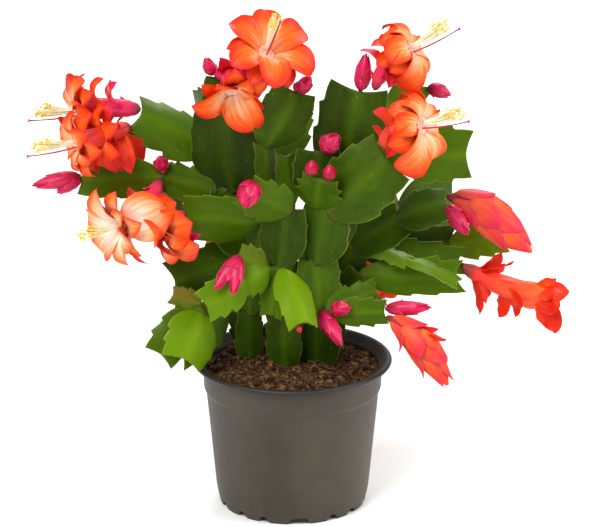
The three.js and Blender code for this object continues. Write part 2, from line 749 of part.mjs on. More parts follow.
bloomRows.forEach(([name, ...form], k) => {
  const bloom = new Bloom(...form);
  place(name, clearOfSegments(bloom.solid()), petalOrange);
  if (withStamens.includes(k + 1)) {
    place(`stamens_${k + 1}`, bloom.stamens(), stamenCream);
  }
  if (withStyle.includes(k + 1)) {
    place(`style_${k + 1}`, bloom.style(), styleMagenta);
  }
});

for (const name of new Set(budRows.map(([bud]) => bud))) {
  const own = budRows.filter(([bud]) => bud === name).map(([, ...form]) => budSolid(...form));
  place(name, clearOfSegments(joined(own)), budMagenta);
}

export default group;
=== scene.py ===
import math
import random

import bmesh
import bpy
import numpy as np
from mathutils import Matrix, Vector, noise


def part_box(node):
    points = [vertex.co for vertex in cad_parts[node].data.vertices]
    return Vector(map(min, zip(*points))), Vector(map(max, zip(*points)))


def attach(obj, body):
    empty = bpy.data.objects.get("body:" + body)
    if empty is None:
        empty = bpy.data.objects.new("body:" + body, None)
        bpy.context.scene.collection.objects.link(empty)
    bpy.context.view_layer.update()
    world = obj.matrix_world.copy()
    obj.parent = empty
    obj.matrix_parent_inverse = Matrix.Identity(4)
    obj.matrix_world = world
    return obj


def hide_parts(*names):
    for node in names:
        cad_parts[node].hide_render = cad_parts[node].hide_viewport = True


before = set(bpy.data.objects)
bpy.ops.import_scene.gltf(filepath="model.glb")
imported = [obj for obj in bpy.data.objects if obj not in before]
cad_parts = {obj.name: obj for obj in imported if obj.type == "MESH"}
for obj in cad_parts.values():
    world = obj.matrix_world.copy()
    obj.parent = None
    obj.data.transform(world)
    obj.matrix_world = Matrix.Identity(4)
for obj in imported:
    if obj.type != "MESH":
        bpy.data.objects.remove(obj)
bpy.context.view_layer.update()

mm = 0.001                       # sizes below are in millimetres, Blender's are in metres
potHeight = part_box("pot")[1][2] / mm


# Camera, floor and light

view = {
    "target": (4.5, 0, 150),
    "distance": 2200,
    "elevation": 19,
    "lens": 221.5,
    "sensor": 36,
}
stage = {
    "floorSize": 9000,
    "floorColour": "f4f3f1",
    "lampsFace": (0, 0, 150),
    "sky": 0.62,
    "lamps": [                   # place, size, watts
        ((-800, -1300, 1800), 1100, 42),
        ((1400, -400, 1000), 900, 17),
        ((200, 1500, 1600), 1100, 26),
    ],
}


def aim(thing, place, target):
    thing.location = Vector(place) * mm
    thing.rotation_euler = (Vector(target) - Vector(place)).to_track_quat("-Z", "Y").to_euler()


def makeCamera():
    lift = math.radians(view["elevation"])
    target = Vector(view["target"])
    place = target + view["distance"] * Vector((0, -math.cos(lift), math.sin(lift)))
    camera = bpy.data.objects.new("camera", bpy.data.cameras.new("camera"))
    camera.data.lens = view["lens"]
    camera.data.sensor_width = view["sensor"]
    camera.data.sensor_fit = "HORIZONTAL"
    camera.data.clip_end = 50
    aim(camera, place, target)
    bpy.context.scene.collection.objects.link(camera)
    bpy.context.scene.camera = camera


def makeLamps():
    for k, (place, size, watts) in enumerate(stage["lamps"]):
        lamp = bpy.data.lights.new(f"softbox{k}", "AREA")
        lamp.shape = "DISK"
        lamp.size = size * mm
        lamp.energy = watts
        holder = bpy.data.objects.new(f"softbox{k}", lamp)
        aim(holder, place, stage["lampsFace"])
        bpy.context.scene.collection.objects.link(holder)
    world = bpy.data.worlds.new("studio")
    world.use_nodes = True
    world.node_tree.nodes["Background"].inputs["Color"].default_value = (1, 1, 1, 1)
    world.node_tree.nodes["Background"].inputs["Strength"].default_value = stage["sky"]
    bpy.context.scene.world = world
    bpy.context.scene.view_settings.view_transform = "Standard"
    bpy.context.scene.view_settings.look = "None"


# Colour and node helpers

def colour(code):
    parts = [int(code[k:k + 2], 16) / 255 for k in (0, 2, 4)]
    return [p / 12.92 if p <= 0.04045 else ((p + 0.055) / 1.055) ** 2.4 for p in parts] + [1.0]


def put(tree, kind, inputs=None, **settings):
    made = tree.nodes.new(kind)
    for name, value in settings.items():
        setattr(made, name, value)
    for name, value in (inputs or {}).items():
        if isinstance(value, bpy.types.NodeSocket):
            tree.links.new(value, made.inputs[name])
        else:
            made.inputs[name].default_value = value
    return made


def maths(tree, operation, first, second=0.5, clamp=False):
    return put(tree, "ShaderNodeMath", {0: first, 1: second}, operation=operation, use_clamp=clamp).outputs[0]


# Two values, each times its own share, added up.
def summed(tree, first, firstShare, second, secondShare):
    inputs = {0: first, 1: firstShare, 2: maths(tree, "MULTIPLY", second, secondShare)}
    return put(tree, "ShaderNodeMath", inputs, operation="MULTIPLY_ADD").outputs[0]


def mark(tree, name):
    return put(tree, "ShaderNodeAttribute", attribute_name=name).outputs["Fac"]


def ramp(tree, value, stops):
    made = put(tree, "ShaderNodeValToRGB", {"Fac": value})
    band = made.color_ramp.elements
    while len(band) < len(stops):
        band.new(0.5)
    for stop, (place, code) in zip(band, stops):
        stop.position = place
        stop.color = colour(code)
    return made.outputs["Color"]


def mixed(tree, share, first, second):
    return put(tree, "ShaderNodeMix", {0: share, 6: first, 7: second}, data_type="RGBA").outputs[2]


def spread(tree, value, low, high, newLow=0.0, newHigh=1.0):
    inputs = {"Value": value, "From Min": low, "From Max": high, "To Min": newLow, "To Max": newHigh}
    return put(tree, "ShaderNodeMapRange", inputs).outputs["Result"]


# A value moved down or up by a mask that runs from 0 to 1.
def varied(tree, value, mask, low, high, clamp=False):
    return maths(tree, "ADD", value, spread(tree, mask, 0, 1, low, high), clamp=clamp)


def noiseOf(tree, scale, detail, vector=None):
    if vector is None:
        vector = put(tree, "ShaderNodeTexCoord").outputs["Object"]
    inputs = {"Vector": vector, "Scale": scale, "Detail": detail, "Roughness": 0.55}
    return put(tree, "ShaderNodeTexNoise", inputs).outputs["Fac"]


def newGroup(name, inputs, outputs):
    tree = bpy.data.node_groups.new(name, "ShaderNodeTree")
    for label, value in inputs.items():
        socket = tree.interface.new_socket(label, in_out="INPUT", socket_type="NodeSocketFloat")
        socket.default_value = value
    for label in outputs:
        tree.interface.new_socket(label, in_out="OUTPUT", socket_type="NodeSocketFloat")
    return tree, put(tree, "NodeGroupInput").outputs, put(tree, "NodeGroupOutput").inputs


# Blotches of two sizes that no surface of a plant or a pot is without, as a mask round 0.5.
def makeMottle():
    tree, given, wanted = newGroup("mottle", {"Scale": 60.0, "Contrast": 1.0}, ["Mask"])
    large = noiseOf(tree, given["Scale"], 2.0)
    small = noiseOf(tree, maths(tree, "MULTIPLY", given["Scale"], 5.3), 4.0)
    centred = maths(tree, "SUBTRACT", summed(tree, large, 0.65, small, 0.35), 0.5)
    stretched = maths(tree, "MULTIPLY", centred, maths(tree, "MULTIPLY", given["Contrast"], 2.2))
    tree.links.new(maths(tree, "ADD", stretched, 0.5, clamp=True), wanted["Mask"])
    return tree


# Fine lines that run from the root of a petal or a segment to its tip.
def makeStreaks():
    tree, given, wanted = newGroup("streaks", {"Count": 14.0, "Length": 1.6, "Seed": 0.0}, ["Mask", "Height"])
    sideways = maths(tree, "MULTIPLY", mark(tree, "across"), given["Count"])
    lengthways = maths(tree, "MULTIPLY", mark(tree, "along"), given["Length"])
    shift = maths(tree, "MULTIPLY", given["Seed"], 17.0)
    vector = put(tree, "ShaderNodeCombineXYZ", {0: sideways, 1: lengthways, 2: shift}).outputs[0]
    lines = noiseOf(tree, 1.0, 2.5, vector)
    tree.links.new(spread(tree, lines, 0.36, 0.66), wanted["Mask"])
    tree.links.new(lines, wanted["Height"])
    return tree


# Pores and faint waves of a waxy or moulded skin, as a height.
def makeGrain():
    tree, given, wanted = newGroup("grain", {"Scale": 900.0, "Waves": 0.5}, ["Height"])
    pores = noiseOf(tree, given["Scale"], 2.0)
    waves = noiseOf(tree, maths(tree, "MULTIPLY", given["Scale"], 0.12), 2.0)
    tree.links.new(summed(tree, waves, given["Waves"], pores, 0.35), wanted["Height"])
    return tree


groups = {"mottle": makeMottle(), "streaks": makeStreaks(), "grain": makeGrain()}


def effect(tree, name, **inputs):
    return put(tree, "ShaderNodeGroup", inputs, node_tree=groups[name]).outputs


def newMaterial(name, sockets):
    material = bpy.data.materials.new(name)
    material.use_nodes = True
    tree = material.node_tree
    shader = tree.nodes["Principled BSDF"]
    for label, value in sockets.items():
        shader.inputs[label].default_value = value
    return material, tree, shader.inputs


def feed(tree, sockets, values):
    for label, value in values.items():
        tree.links.new(value, sockets[label])


def bump(tree, height, strength, distance):
    inputs = {"Height": height, "Strength": strength, "Distance": distance * mm}
    return put(tree, "ShaderNodeBump", inputs).outputs["Normal"]


# Materials. shader holds what is the same all over a surface, bump its strength and its depth.

leafLook = {
    "greens": [(0.0, "152503"), (0.15, "243a03"), (0.35, "385303"), (0.65, "4c6d03"), (1.0, "628304")],
    "rust": "7c5222",
    "speck": "8a9a48",
    "margin": "9ba63c",
    "bark": "5c4c2c",
    "speckShare": 0.28,
    "marginBand": (0.955, 0.997),
    "barkReach": 0.09,
    "rib": (0.02, 0.3, 0.14),    # where its painted highlight along the midrib is full and where it ends, and how much paler it paints the green
    "mottle": {"Scale": 45.0, "Contrast": 0.8},
    "streaks": {"Count": 3.5, "Length": 2.2},
    "grain": {"Scale": 1500.0, "Waves": 0.6},
    "roughness": (0.33, 0.52),
    "bump": (0.22, 0.3),
    "shader": {"Roughness": 0.4, "Specular IOR Level": 0.16, "Specular Tint": (1.0, 1.0, 0.5, 1.0),
               "Subsurface Weight": 0.08, "Subsurface Scale": 1.5 * mm,
               "Subsurface Radius": (0.6, 1.0, 0.15)},
}


def makeLeafMaterial():
    look = leafLook
    material, tree, sockets = newMaterial("waxySegment", look["shader"])
    mottle = effect(tree, "mottle", **look["mottle"])["Mask"]
    streaks = effect(tree, "streaks", Seed=mark(tree, "tint"), **look["streaks"])
    offCentre = maths(tree, "ABSOLUTE", mark(tree, "across"))
    age = varied(tree, mark(tree, "young"), mottle, -0.1, 0.1)
    age = varied(tree, age, streaks["Mask"], -0.04, 0.04)
    # Painted highlight: a paler band along the midrib ridge, lifted onto the green ramp.
    full, end, highlight = look["rib"]
    age = maths(tree, "ADD", age, spread(tree, offCentre, full, end, highlight, 0.0), clamp=True)
    specks = spread(tree, noiseOf(tree, 620.0, 1.0), 0.7, 0.78)
    root = spread(tree, mark(tree, "along"), 0.0, look["barkReach"], 1, 0)
    shares = {
        "rust": maths(tree, "MULTIPLY", spread(tree, mottle, 0.3, 0.7), mark(tree, "rust")),
        "speck": maths(tree, "MULTIPLY", specks, look["speckShare"]),
        "margin": maths(tree, "MULTIPLY", spread(tree, offCentre, *look["marginBand"]), mark(tree, "margin")),
        "bark": maths(tree, "MULTIPLY", root, mark(tree, "woody")),
    }
    skin = ramp(tree, age, look["greens"])
    for name, share in shares.items():
        skin = mixed(tree, share, skin, colour(look[name]))
    height = summed(tree, streaks["Height"], 0.6, effect(tree, "grain", **look["grain"])["Height"], 1.0)
    feed(tree, sockets, {"Base Color": skin, "Roughness": spread(tree, mottle, 0, 1, *look["roughness"]),
                         "Normal": bump(tree, height, *look["bump"])})
    return material


petalLook = {
    "warm": [(0.0, "f6dccb"), (0.2, "f4ac7c"), (0.45, "ee681e"), (0.75, "e23a06"), (1.0, "c41c03")],
    "pink": "d21860",
    "dusk": "5d3a2a",
    "streaks": {"Count": 7.0, "Length": 1.2},
    "mottle": {"Scale": 90.0, "Contrast": 0.7},
    "roughness": (0.38, 0.52),
    "bump": (0.4, 0.5),
    "shader": {"Roughness": 0.42, "Specular IOR Level": 0.2, "Subsurface Weight": 0.3,
               "Subsurface Scale": 2.0 * mm, "Subsurface Radius": (1.0, 0.25, 0.08)},
}


def makePetalMaterial():
    look = petalLook
    material, tree, sockets = newMaterial("satinPetal", look["shader"])
    streaks = effect(tree, "streaks", Seed=mark(tree, "tint"), **look["streaks"])
    mottle = effect(tree, "mottle", **look["mottle"])["Mask"]
    warm = varied(tree, mark(tree, "warm"), streaks["Mask"], -0.07, 0.09)
    warm = varied(tree, warm, mottle, -0.06, 0.06, clamp=True)
    skin = ramp(tree, warm, look["warm"])
    for name in ("pink", "dusk"):
        skin = mixed(tree, mark(tree, name), skin, colour(look[name]))
    roughness = spread(tree, streaks["Mask"], 0, 1, *look["roughness"])
    feed(tree, sockets, {"Base Color": skin, "Roughness": roughness,
                         "Normal": bump(tree, streaks["Height"], *look["bump"])})
    return material


budLook = {
    "reds": [(0.0, "6c0822"), (0.35, "ad0a38"), (0.7, "cf1752"), (1.0, "f07aa6")],
    "base": "6e4030",
    "middle": (0.45, 0.14),      # how far the painted highlight down the middle of a scale reaches, and how much paler it paints it
    "streaks": {"Count": 5.0, "Length": 1.0},
    "bump": (0.35, 0.4),
    "shader": {"Roughness": 0.38, "Specular IOR Level": 0.3, "Subsurface Weight": 0.25,
               "Subsurface Scale": 2.0 * mm, "Subsurface Radius": (1.0, 0.3, 0.3)},
}


def makeBudMaterial():
    look = budLook
    material, tree, sockets = newMaterial("budSkin", look["shader"])
    streaks = effect(tree, "streaks", Seed=mark(tree, "tint"), **look["streaks"])
    pale = varied(tree, mark(tree, "warm"), streaks["Mask"], -0.14, 0.12)
    # Painted highlight: a pale streak down the middle of each scale, pushing the tone towards the palest pink
    # of the reds.
    reach, highlight = look["middle"]
    middle = spread(tree, maths(tree, "ABSOLUTE", mark(tree, "across")), 0.0, reach, highlight, 0.0)
    skin = ramp(tree, maths(tree, "ADD", pale, middle, clamp=True), look["reds"])
    skin = mixed(tree, mark(tree, "dusk"), skin, colour(look["base"]))
    feed(tree, sockets, {"Base Color": skin, "Normal": bump(tree, streaks["Height"], *look["bump"])})
    return material


threadLook = {
    "stamen": [(0.0, "f7ecd8"), (0.7, "f6e9b8"), (0.86, "ecd060"), (1.0, "dcbc48")],
    "style": [(0.0, "d83058"), (0.4, "a01040"), (0.9, "6a0a2c"), (0.95, "d0187a"), (1.0, "dc2c8c")],
    "bristle": [(0.0, "8a6a3c"), (1.0, "5a3a20")],
    "wool": [(0.0, "a98d5c"), (1.0, "d2bd8c")],
    "mottle": {"Scale": 400.0, "Contrast": 0.6},
    "grain": {"Scale": 3000.0, "Waves": 0.4},
    "bump": (0.3, 0.1),
    "shader": {"Roughness": 0.5, "Specular IOR Level": 0.3, "Subsurface Weight": 0.2,
               "Subsurface Scale": 0.8 * mm},
}


def makeThreadMaterial(name):
    look = threadLook
    material, tree, sockets = newMaterial(name + "Thread", look["shader"])
    mottle = effect(tree, "mottle", **look["mottle"])["Mask"]
    place = varied(tree, mark(tree, "along"), mottle, -0.05, 0.05, clamp=True)
    grain = effect(tree, "grain", **look["grain"])["Height"]
    feed(tree, sockets, {"Base Color": ramp(tree, place, look[name]),
                         "Normal": bump(tree, grain, *look["bump"])})
    return material


peatLook = {
    "browns": [(0.0, "120b06"), (0.35, "301f12"), (0.65, "553a22"), (1.0, "8c6842")],
    "crumbScale": 420.0,
    "dustScale": 2400.0,
    "bump": (0.8, 0.6),
    "shader": {"Roughness": 0.95, "Specular IOR Level": 0.15},
}


def makePeatMaterial():
    look = peatLook
    material, tree, sockets = newMaterial("fibrousPeat", look["shader"])
    fine = noiseOf(tree, look["dustScale"], 3.0)
    tone = summed(tree, noiseOf(tree, look["crumbScale"], 4.0), 0.75, fine, 0.35)
    tone = maths(tree, "ADD", spread(tree, tone, 0.35, 0.75), mark(tree, "tint"), clamp=True)
    feed(tree, sockets, {"Base Color": ramp(tree, tone, look["browns"]),
                         "Normal": bump(tree, fine, *look["bump"])})
    return material


potLook = {
    "plastic": [(0.0, "302a20"), (0.5, "3a3429"), (1.0, "453e31")],
    # rim is painted shade: the rolled lip's top few millimetres are darkened by height towards this colour
    "rim": "15120e",
    "rimShare": 0.85,
    "rimBelow": (4.5, 3.2),      # how far under the top its painted shade begins and is full
    "dust": "6d604c",
    "dustShare": (0.5, 0.12),    # at the foot and higher up
    "dustReach": 14,
    "flow": 30.0,
    "flowStretch": (1.0, 1.0, 0.25),
    "mottle": {"Scale": 22.0, "Contrast": 0.7},
    "grain": {"Scale": 1800.0, "Waves": 0.8},
    "roughness": (0.42, 0.6),
    "bump": (0.25, 0.12),
    "shader": {"Roughness": 0.46, "Specular IOR Level": 0.36},
}


def makePotMaterial():
    look = potLook
    material, tree, sockets = newMaterial("mouldedPlastic", look["shader"])
    place = put(tree, "ShaderNodeTexCoord").outputs["Object"]
    height = put(tree, "ShaderNodeSeparateXYZ", {0: place}).outputs["Z"]
    stretched = put(tree, "ShaderNodeMapping", {"Vector": place, "Scale": look["flowStretch"]}).outputs[0]
    mottle = effect(tree, "mottle", **look["mottle"])["Mask"]
    tone = summed(tree, noiseOf(tree, look["flow"], 3.0, stretched), 0.5, mottle, 0.5)
    skin = ramp(tree, spread(tree, tone, 0.3, 0.7), look["plastic"])
    # Painted shade: the lip is darkened by height towards the rim colour.
    start, full = [(potHeight - below) * mm for below in look["rimBelow"]]
    skin = mixed(tree, spread(tree, height, start, full, 0.0, look["rimShare"]), skin, colour(look["rim"]))
    specks = spread(tree, noiseOf(tree, 700.0, 2.0), 0.62, 0.74)
    settled = spread(tree, height, 0.0, look["dustReach"] * mm, *look["dustShare"])
    skin = mixed(tree, maths(tree, "MULTIPLY", specks, settled), skin, colour(look["dust"]))
    grain = effect(tree, "grain", **look["grain"])["Height"]
    feed(tree, sockets, {"Base Color": skin, "Roughness": spread(tree, mottle, 0, 1, *look["roughness"]),
                         "Normal": bump(tree, grain, *look["bump"])})
    return material


leafMaterial = makeLeafMaterial()
petalMaterial = makePetalMaterial()
budMaterial = makeBudMaterial()
print("materials are made")


# Meshes

def smooth(table, at):
    xs, ys = np.array(table, float).T
    at = np.clip(np.asarray(at, float), xs[0], xs[-1])
    slopes = np.gradient(ys, xs)
    i = np.clip(np.searchsorted(xs, at) - 1, 0, len(xs) - 2)
    step = xs[i + 1] - xs[i]
    t = (at - xs[i]) / step
    ends = (1 + 2 * t) * (1 - t) ** 2 * ys[i] + t * t * (3 - 2 * t) * ys[i + 1]
    return ends + step * (t * (1 - t) ** 2 * slopes[i] + t * t * (t - 1) * slopes[i + 1])


# Closed bodies gathered for one piece, with the values on their points that its material reads. Everything
# here is in millimetres until mesh makes metres of it.
class Skin:
    def __init__(self, *marks):
        self.points = []
        self.faces = []
        self.marks = {name: [] for name in marks}
        self.count = 0

    def gather(self, points, marks):
        start = self.count
        self.points.append(points.reshape(-1, 3))
        self.count += len(self.points[-1])
        for name, values in self.marks.items():
            given = np.broadcast_to(marks.get(name, 0.0), points.shape[:-1])
            values.append(given.reshape(-1))
        return start

    # Rings of points, one row each, joined side to side. flat rings close front to back at their ends.
    def loft(self, rings, flat=False, **marks):
        start = self.gather(rings, marks)
        rows, size = rings.shape[:2]
        half = size // 2
        k = np.arange(size)
        for i in range(rows - 1):
            a = start + i * size
            self.faces.extend(zip(a + k, a + (k + 1) % size, a + size + (k + 1) % size, a + size + k))
        for a in (start, start + (rows - 1) * size):
            if flat:
                self.faces += [(a, a + 1, a + size - 1), (a + half, a + half - 1, a + half + 1)]
                self.faces += [(a + j, a + j + 1, a + size - 1 - j, a + size - j) for j in range(1, half - 1)]
            else:
                self.faces.append(tuple(a + k))

    def add(self, points, faces, **marks):
        start = self.gather(points, marks)
        self.faces.extend(tuple(start + n for n in face) for face in faces)

    def mesh(self, name):
        made = bpy.data.meshes.new(name)
        faces = [tuple(int(n) for n in face) for face in self.faces]
        made.from_pydata((np.concatenate(self.points) * mm).tolist(), [], faces)
        return made

    def piece(self, name, material, slot, *nodes):
        mesh = self.mesh(name)
        for label, values in self.marks.items():
            layer = mesh.attributes.new(label, "FLOAT", "POINT")
            layer.data.foreach_set("value", np.concatenate(values).astype(np.float32))
        work = bmesh.new()
        work.from_mesh(mesh)
        bmesh.ops.recalc_face_normals(work, faces=work.faces)
        work.to_mesh(mesh)
        work.free()
        mesh.shade_smooth()
        mesh.materials.append(material)
        made = bpy.data.objects.new(name, mesh)
        bpy.context.scene.collection.objects.link(made)
        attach(made, "root")
        if nodes:
            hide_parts(*nodes)
        return made


def turned(centres, ups, sides, radii, count, turn=0.0):
    angle = math.radians(turn) + np.arange(count) * 2 * math.pi / count
    radii = np.asarray(radii, float).reshape(-1, 1, 1)
    round1 = np.cos(angle)[None, :, None] * np.asarray(ups)[:, None, :]
    round2 = np.sin(angle)[None, :, None] * np.asarray(sides)[:, None, :]
    return np.asarray(centres)[:, None, :] + radii * (round1 + round2)


# Rings round the middle surface of a blade, from its points, the way each faces and half its thickness.
def bladeRings(points, normals, halves):
    front = points + normals * halves[..., None]
    back = points - normals * halves[..., None]
    return np.concatenate([front, back[:, -2:0:-1]], axis=1)


def bladeMarks(values):
    return np.concatenate([values, values[:, -2:0:-1]], axis=1)


# 0 on the front of a blade's rings and 1 on their back.
def bladeBacks(rows, columns):
    return np.concatenate([np.zeros((rows, columns)), np.ones((rows, columns - 2))], axis=1)


# Directions. lean turns from straight up towards +X, out tips towards the front.

def heading(lean, out):
    lean, out = math.radians(lean), math.radians(out)
    return np.array([math.sin(lean) * math.cos(out), -math.sin(out), math.cos(lean) * math.cos(out)])


def squareTo(direction, hint):
    side = hint - direction * (hint @ direction)
    return side / np.linalg.norm(side)


forwards = np.array([0.0, -1.0, 0.0])
upwards = np.array([0.1, 0.25, 1.0])


# Segments

stemPlan = {
    "roots": {"l": (-26, 6), "m": (-5, -8), "t": (15, -4), "r": (20, 18), "w": (-24, 22), "p": (-4, 30),
              "q": (8, 38)},
    "rootHeight": 80,
    "sunkTip": 1.8,
    "clearance": 0.32,
    "tipWidth": 0.8,
    "tipHorn": 1.07,
    "tipMiddle": 0.98,
}

# Each row: name, the segment it grows from, its place across that one's tip, lean, out, length, width,
# roll, bow, fold. A stem's first row has no parent and stands on its root.
segmentRows = [
    ("l1", None, 0, 0, 3, 38, 18, 15, 0, 0),
    ("l2", "l1", 0, 5, -6, 33, 24, 0, 0, 0),
    ("l3", "l2", -0.6, -10, -6, 46, 33, 15, 0, 0),
    ("l4", "l3", 0, -5, 8, 53, 45, -15, 3, 0),
    ("l5", "l4", 0, 0, -14, 24, 28, 12, 0, 0),
    ("l6", "l3", -0.4, -20, -26, 28, 22, -10, 0, 0),
    ("l7", "l6", 0, -60, 4, 50, 32, 40, 3, 6),
    ("l8", "l3", -0.9, -75, -8, 35, 22, 10, 0, 0),
    ("l9", "l8", 0, -90, 2, 50, 25, 10, 3, 0),
    ("l10", "l2", 0.7, 0, 12, 32, 29, -25, 0, 0),
    ("l11", "l10", 0, -80, 12, 49, 30, -5, 3, 0),
    ("l12", "l3", 0.5, 10, -70, 40, 28, 15, 3, 0),
    ("m1", None, 0, 0, 4, 45, 22, 0, 0, 0),
    ("m2", "m1", 0, -5, -4, 30, 28, 20, 0, 0),
    ("m3", "m2", 0, 5, 2, 39, 29, -15, 0, 0),
    ("m4", "m3", -0.9, -8, -10, 37, 22, 50, 0, 0),
    ("m5", "m4", 0, 28, -4, 39, 35, 20, 3, 0),
    ("m6", "m3", 0.4, -57, 24, 33, 28, -5, 2, 0),
    ("m7", "m3", 0.25, -4, -18, 33, 17, 35, 0, 0),
    ("m8", "m2", 0.2, 153, 46, 40, 23, -36, 4, 4),
    ("m9", "m2", -0.1, -170, 16, 28, 16, 0, 0, 0),
    ("m10", "m2", -0.8, -100, 45, 22, 24, 10, 3, 3),
    ("m11", "m2", -0.9, -50, 38, 27, 18, 20, 0, 0),
    ("m12", "m10", 0, -117, 25, 29, 25, 0, 2, 0),
    ("t1", None, 0, 0, 4, 43, 28, -20, 0, 0),
    ("t2", "t1", 0, 0, -3, 33, 29, 15, 0, 0),
    ("t3", "t2", -0.1, 10, 7, 37, 33, -15, 0, 0),
    ("t4", "t3", 0, 45, 10, 52, 43, -20, 3, 0),
    ("t5", "t3", -0.5, 0, -6, 35, 31, 0, 0, 0),
    ("t6", "t3", -0.6, 5, 32, 27, 27, -15, 0, 0),
    ("t7", "t2", 0.6, 10, -14, 49, 30, 20, 0, 0),
    ("t8", "t7", 0, 10, 2, 61, 43, -15, 2, 0),
    ("t9", "t7", 0.8, 45, -12, 30, 26, -25, 0, 0),
    ("t10", "t9", -0.7, 35, -14, 41, 29, 25, 0, 0),
    ("t11", "t9", 0.7, 90, 0, 44, 36, -5, 0, 0),
    ("t12", "t1", 0.8, 85, 12, 34, 18, -10, 0, 0),
    ("t13", "t1", 0.5, 70, -12, 34, 20, -20, 0, 0),
    ("t14", "t2", -0.5, 10, -74, 40, 30, -10, 3, 0),
    ("r1", None, 0, 5, 2, 39, 23, 20, 0, 0),
    ("r2", "r1", 0, 20, -8, 40, 27, -15, 0, 0),
    ("r3", "r2", 0, 55, 4, 35, 30, -45, 2, 0),
    ("r4", "r3", 0, 70, -2, 32, 28, -50, 3, 0),
    ("r5", "r2", 0.3, 90, -12, 59, 28, -15, 4, 0),
    ("r6", "r5", 0, 88, -12, 36, 22, -10, 0, 0),
    ("r7", "r2", 0.8, 95, 4, 58, 20, -25, 4, 0),
    ("r8", "r2", 1, 90, 42, 32, 14, -70, 2, 0),
    ("r9", "r8", 0, 110, 12, 34, 15, -75, 2, 0),
    ("r10", "r1", 0.9, 25, 18, 26, 20, 0, 0, 0),
    ("r11", "r10", 0, 90, 2, 60, 24, -15, 3, 0),
    ("r12", "r2", 0, 40, -58, 38, 28, -10, 3, 0),
    ("w1", None, 0, -10, 2, 40, 23, -20, 0, 0),
    ("w2", "w1", 0, 15, 6, 39, 29, 25, 0, 0),
    ("w3", "w2", 0, -105, 16, 54, 30, 10, 3, 3),
    ("w4", "w1", -0.8, -75, 60, 42, 22, -10, 0, 0),
    ("w5", "w4", 0.2, -160, 36, 32, 34, -20, 4, 4),
    ("w6", "w1", -0.9, -120, 54, 56, 28, -12, 3, 0),
    ("w7", "w4", 1, -72, 4, 18, 14, 0, 0, 0),
    ("w8", "w4", 0.7, -138, 20, 38, 26, 0, -2, 2),
    ("p1", None, 0, -5, -8, 40, 22, 0, 0, 0),
    ("p2", "p1", 0, -12, -16, 38, 29, 15, 0, 0),
    ("p3", "p2", 0.2, -6, -20, 44, 35, -15, 3, 0),
    ("p4", "p2", -0.9, -60, -25, 46, 34, 20, 4, 0),
    ("p5", "p3", -0.6, -28, -45, 44, 31, 15, 4, 0),
    ("p6", "p4", 0, -95, -40, 44, 36, 20, 4, 0),
    ("p7", "p3", 0.6, 16, -32, 40, 36, -20, 4, 0),
    ("p8", "p5", 0, -110, -55, 42, 31, 15, 4, 0),
    ("p9", "p2", 0.9, -30, -60, 42, 28, 20, 4, 0),
    ("p10", "p9", 0, -150, -50, 40, 32, 0, 4, 0),
    ("q1", None, 0, 8, -8, 42, 24, 0, 0, 0),
    ("q2", "q1", 0, 18, -18, 36, 30, -20, 0, 0),
    ("q3", "q2", -0.2, 8, -24, 44, 35, 15, 3, 0),
    ("q4", "q2", 0.9, 70, -28, 42, 32, -20, 4, 0),
    ("q5", "q3", 0.5, 40, -46, 42, 34, 20, 4, 0),
    ("q6", "q4", 0, 98, -38, 44, 38, -25, 4, 0),
    ("q7", "q5", 0, 125, -52, 40, 31, 15, 4, 0),
    ("q8", "q2", 0, 80, -62, 42, 28, 0, 4, 0),
    ("q9", "q8", 0, 165, -48, 42, 34, 0, 4, 0),
]

segmentLook = {
    "columns": 15,
    "edgeHalf": 0.42,
    "midHalf": 1.15,
    "ribHeight": 0.45,
    "ribWidth": 1.5,
    "wave": 0.9,
    "waves": 1.3,
    "tipDip": 1.6,
    "tipRound": 0.3,
    "notchDepth": (0.6, 1.15),
    "barb": (0.0, 0.1),
    "horn": (0.75, 1.25),
    "teeth": [(0.53, 0.04, 1.0, 0.14), (0.795, 0.045, 0.97, 0.18)],   # place, reach, half width, cut
    "young": {                   # the younger a segment, the paler its green
        "m8": 0.95, "m10": 0.72, "m12": 0.78, "m11": 0.6, "m9": 0.5, "w4": 0.78, "w5": 0.92, "w6": 0.74,
        "w7": 0.5, "w8": 0.45, "l7": 0.42, "l8": 0.35, "l9": 0.5, "l10": 0.3, "l11": 0.42, "l4": 0.12,
        "l5": 0.25, "t4": 0.25, "t8": 0.15, "t10": 0.55, "t11": 0.42, "t6": 0.4, "t9": 0.4, "t12": 0.45,
        "r4": 0.3, "r6": 0.85, "r7": 0.4, "r8": 0.6, "r9": 0.62, "r11": 0.45, "m6": 0.42, "m5": 0.3,
        "m3": 0.12, "m7": 0.35, "t5": 0.2, "t3": 0.22, "t7": 0.15,
    },
    "usualYoung": 0.3,
    "rootYoung": 0.2,
    "rust": {"w7": 0.8, "m11": 0.25, "w4": 0.2},
    "blunt": {                   # how much of the usual depth its notches have
        "l3": 0.6, "l4": 0.35, "l5": 0.4, "l9": 0.3, "l10": 0.6, "l11": 0.5, "m2": 0.4, "m3": 0.4, "m5": 0.6,
        "m8": 0.6, "t2": 0.5, "t3": 0.5, "t4": 0.5, "t5": 0.6, "t8": 0.7, "r3": 0.5, "r4": 0.6, "w4": 0.7,
        "w5": 0.6, "w6": 0.6, "w8": 0.7,
    },
}


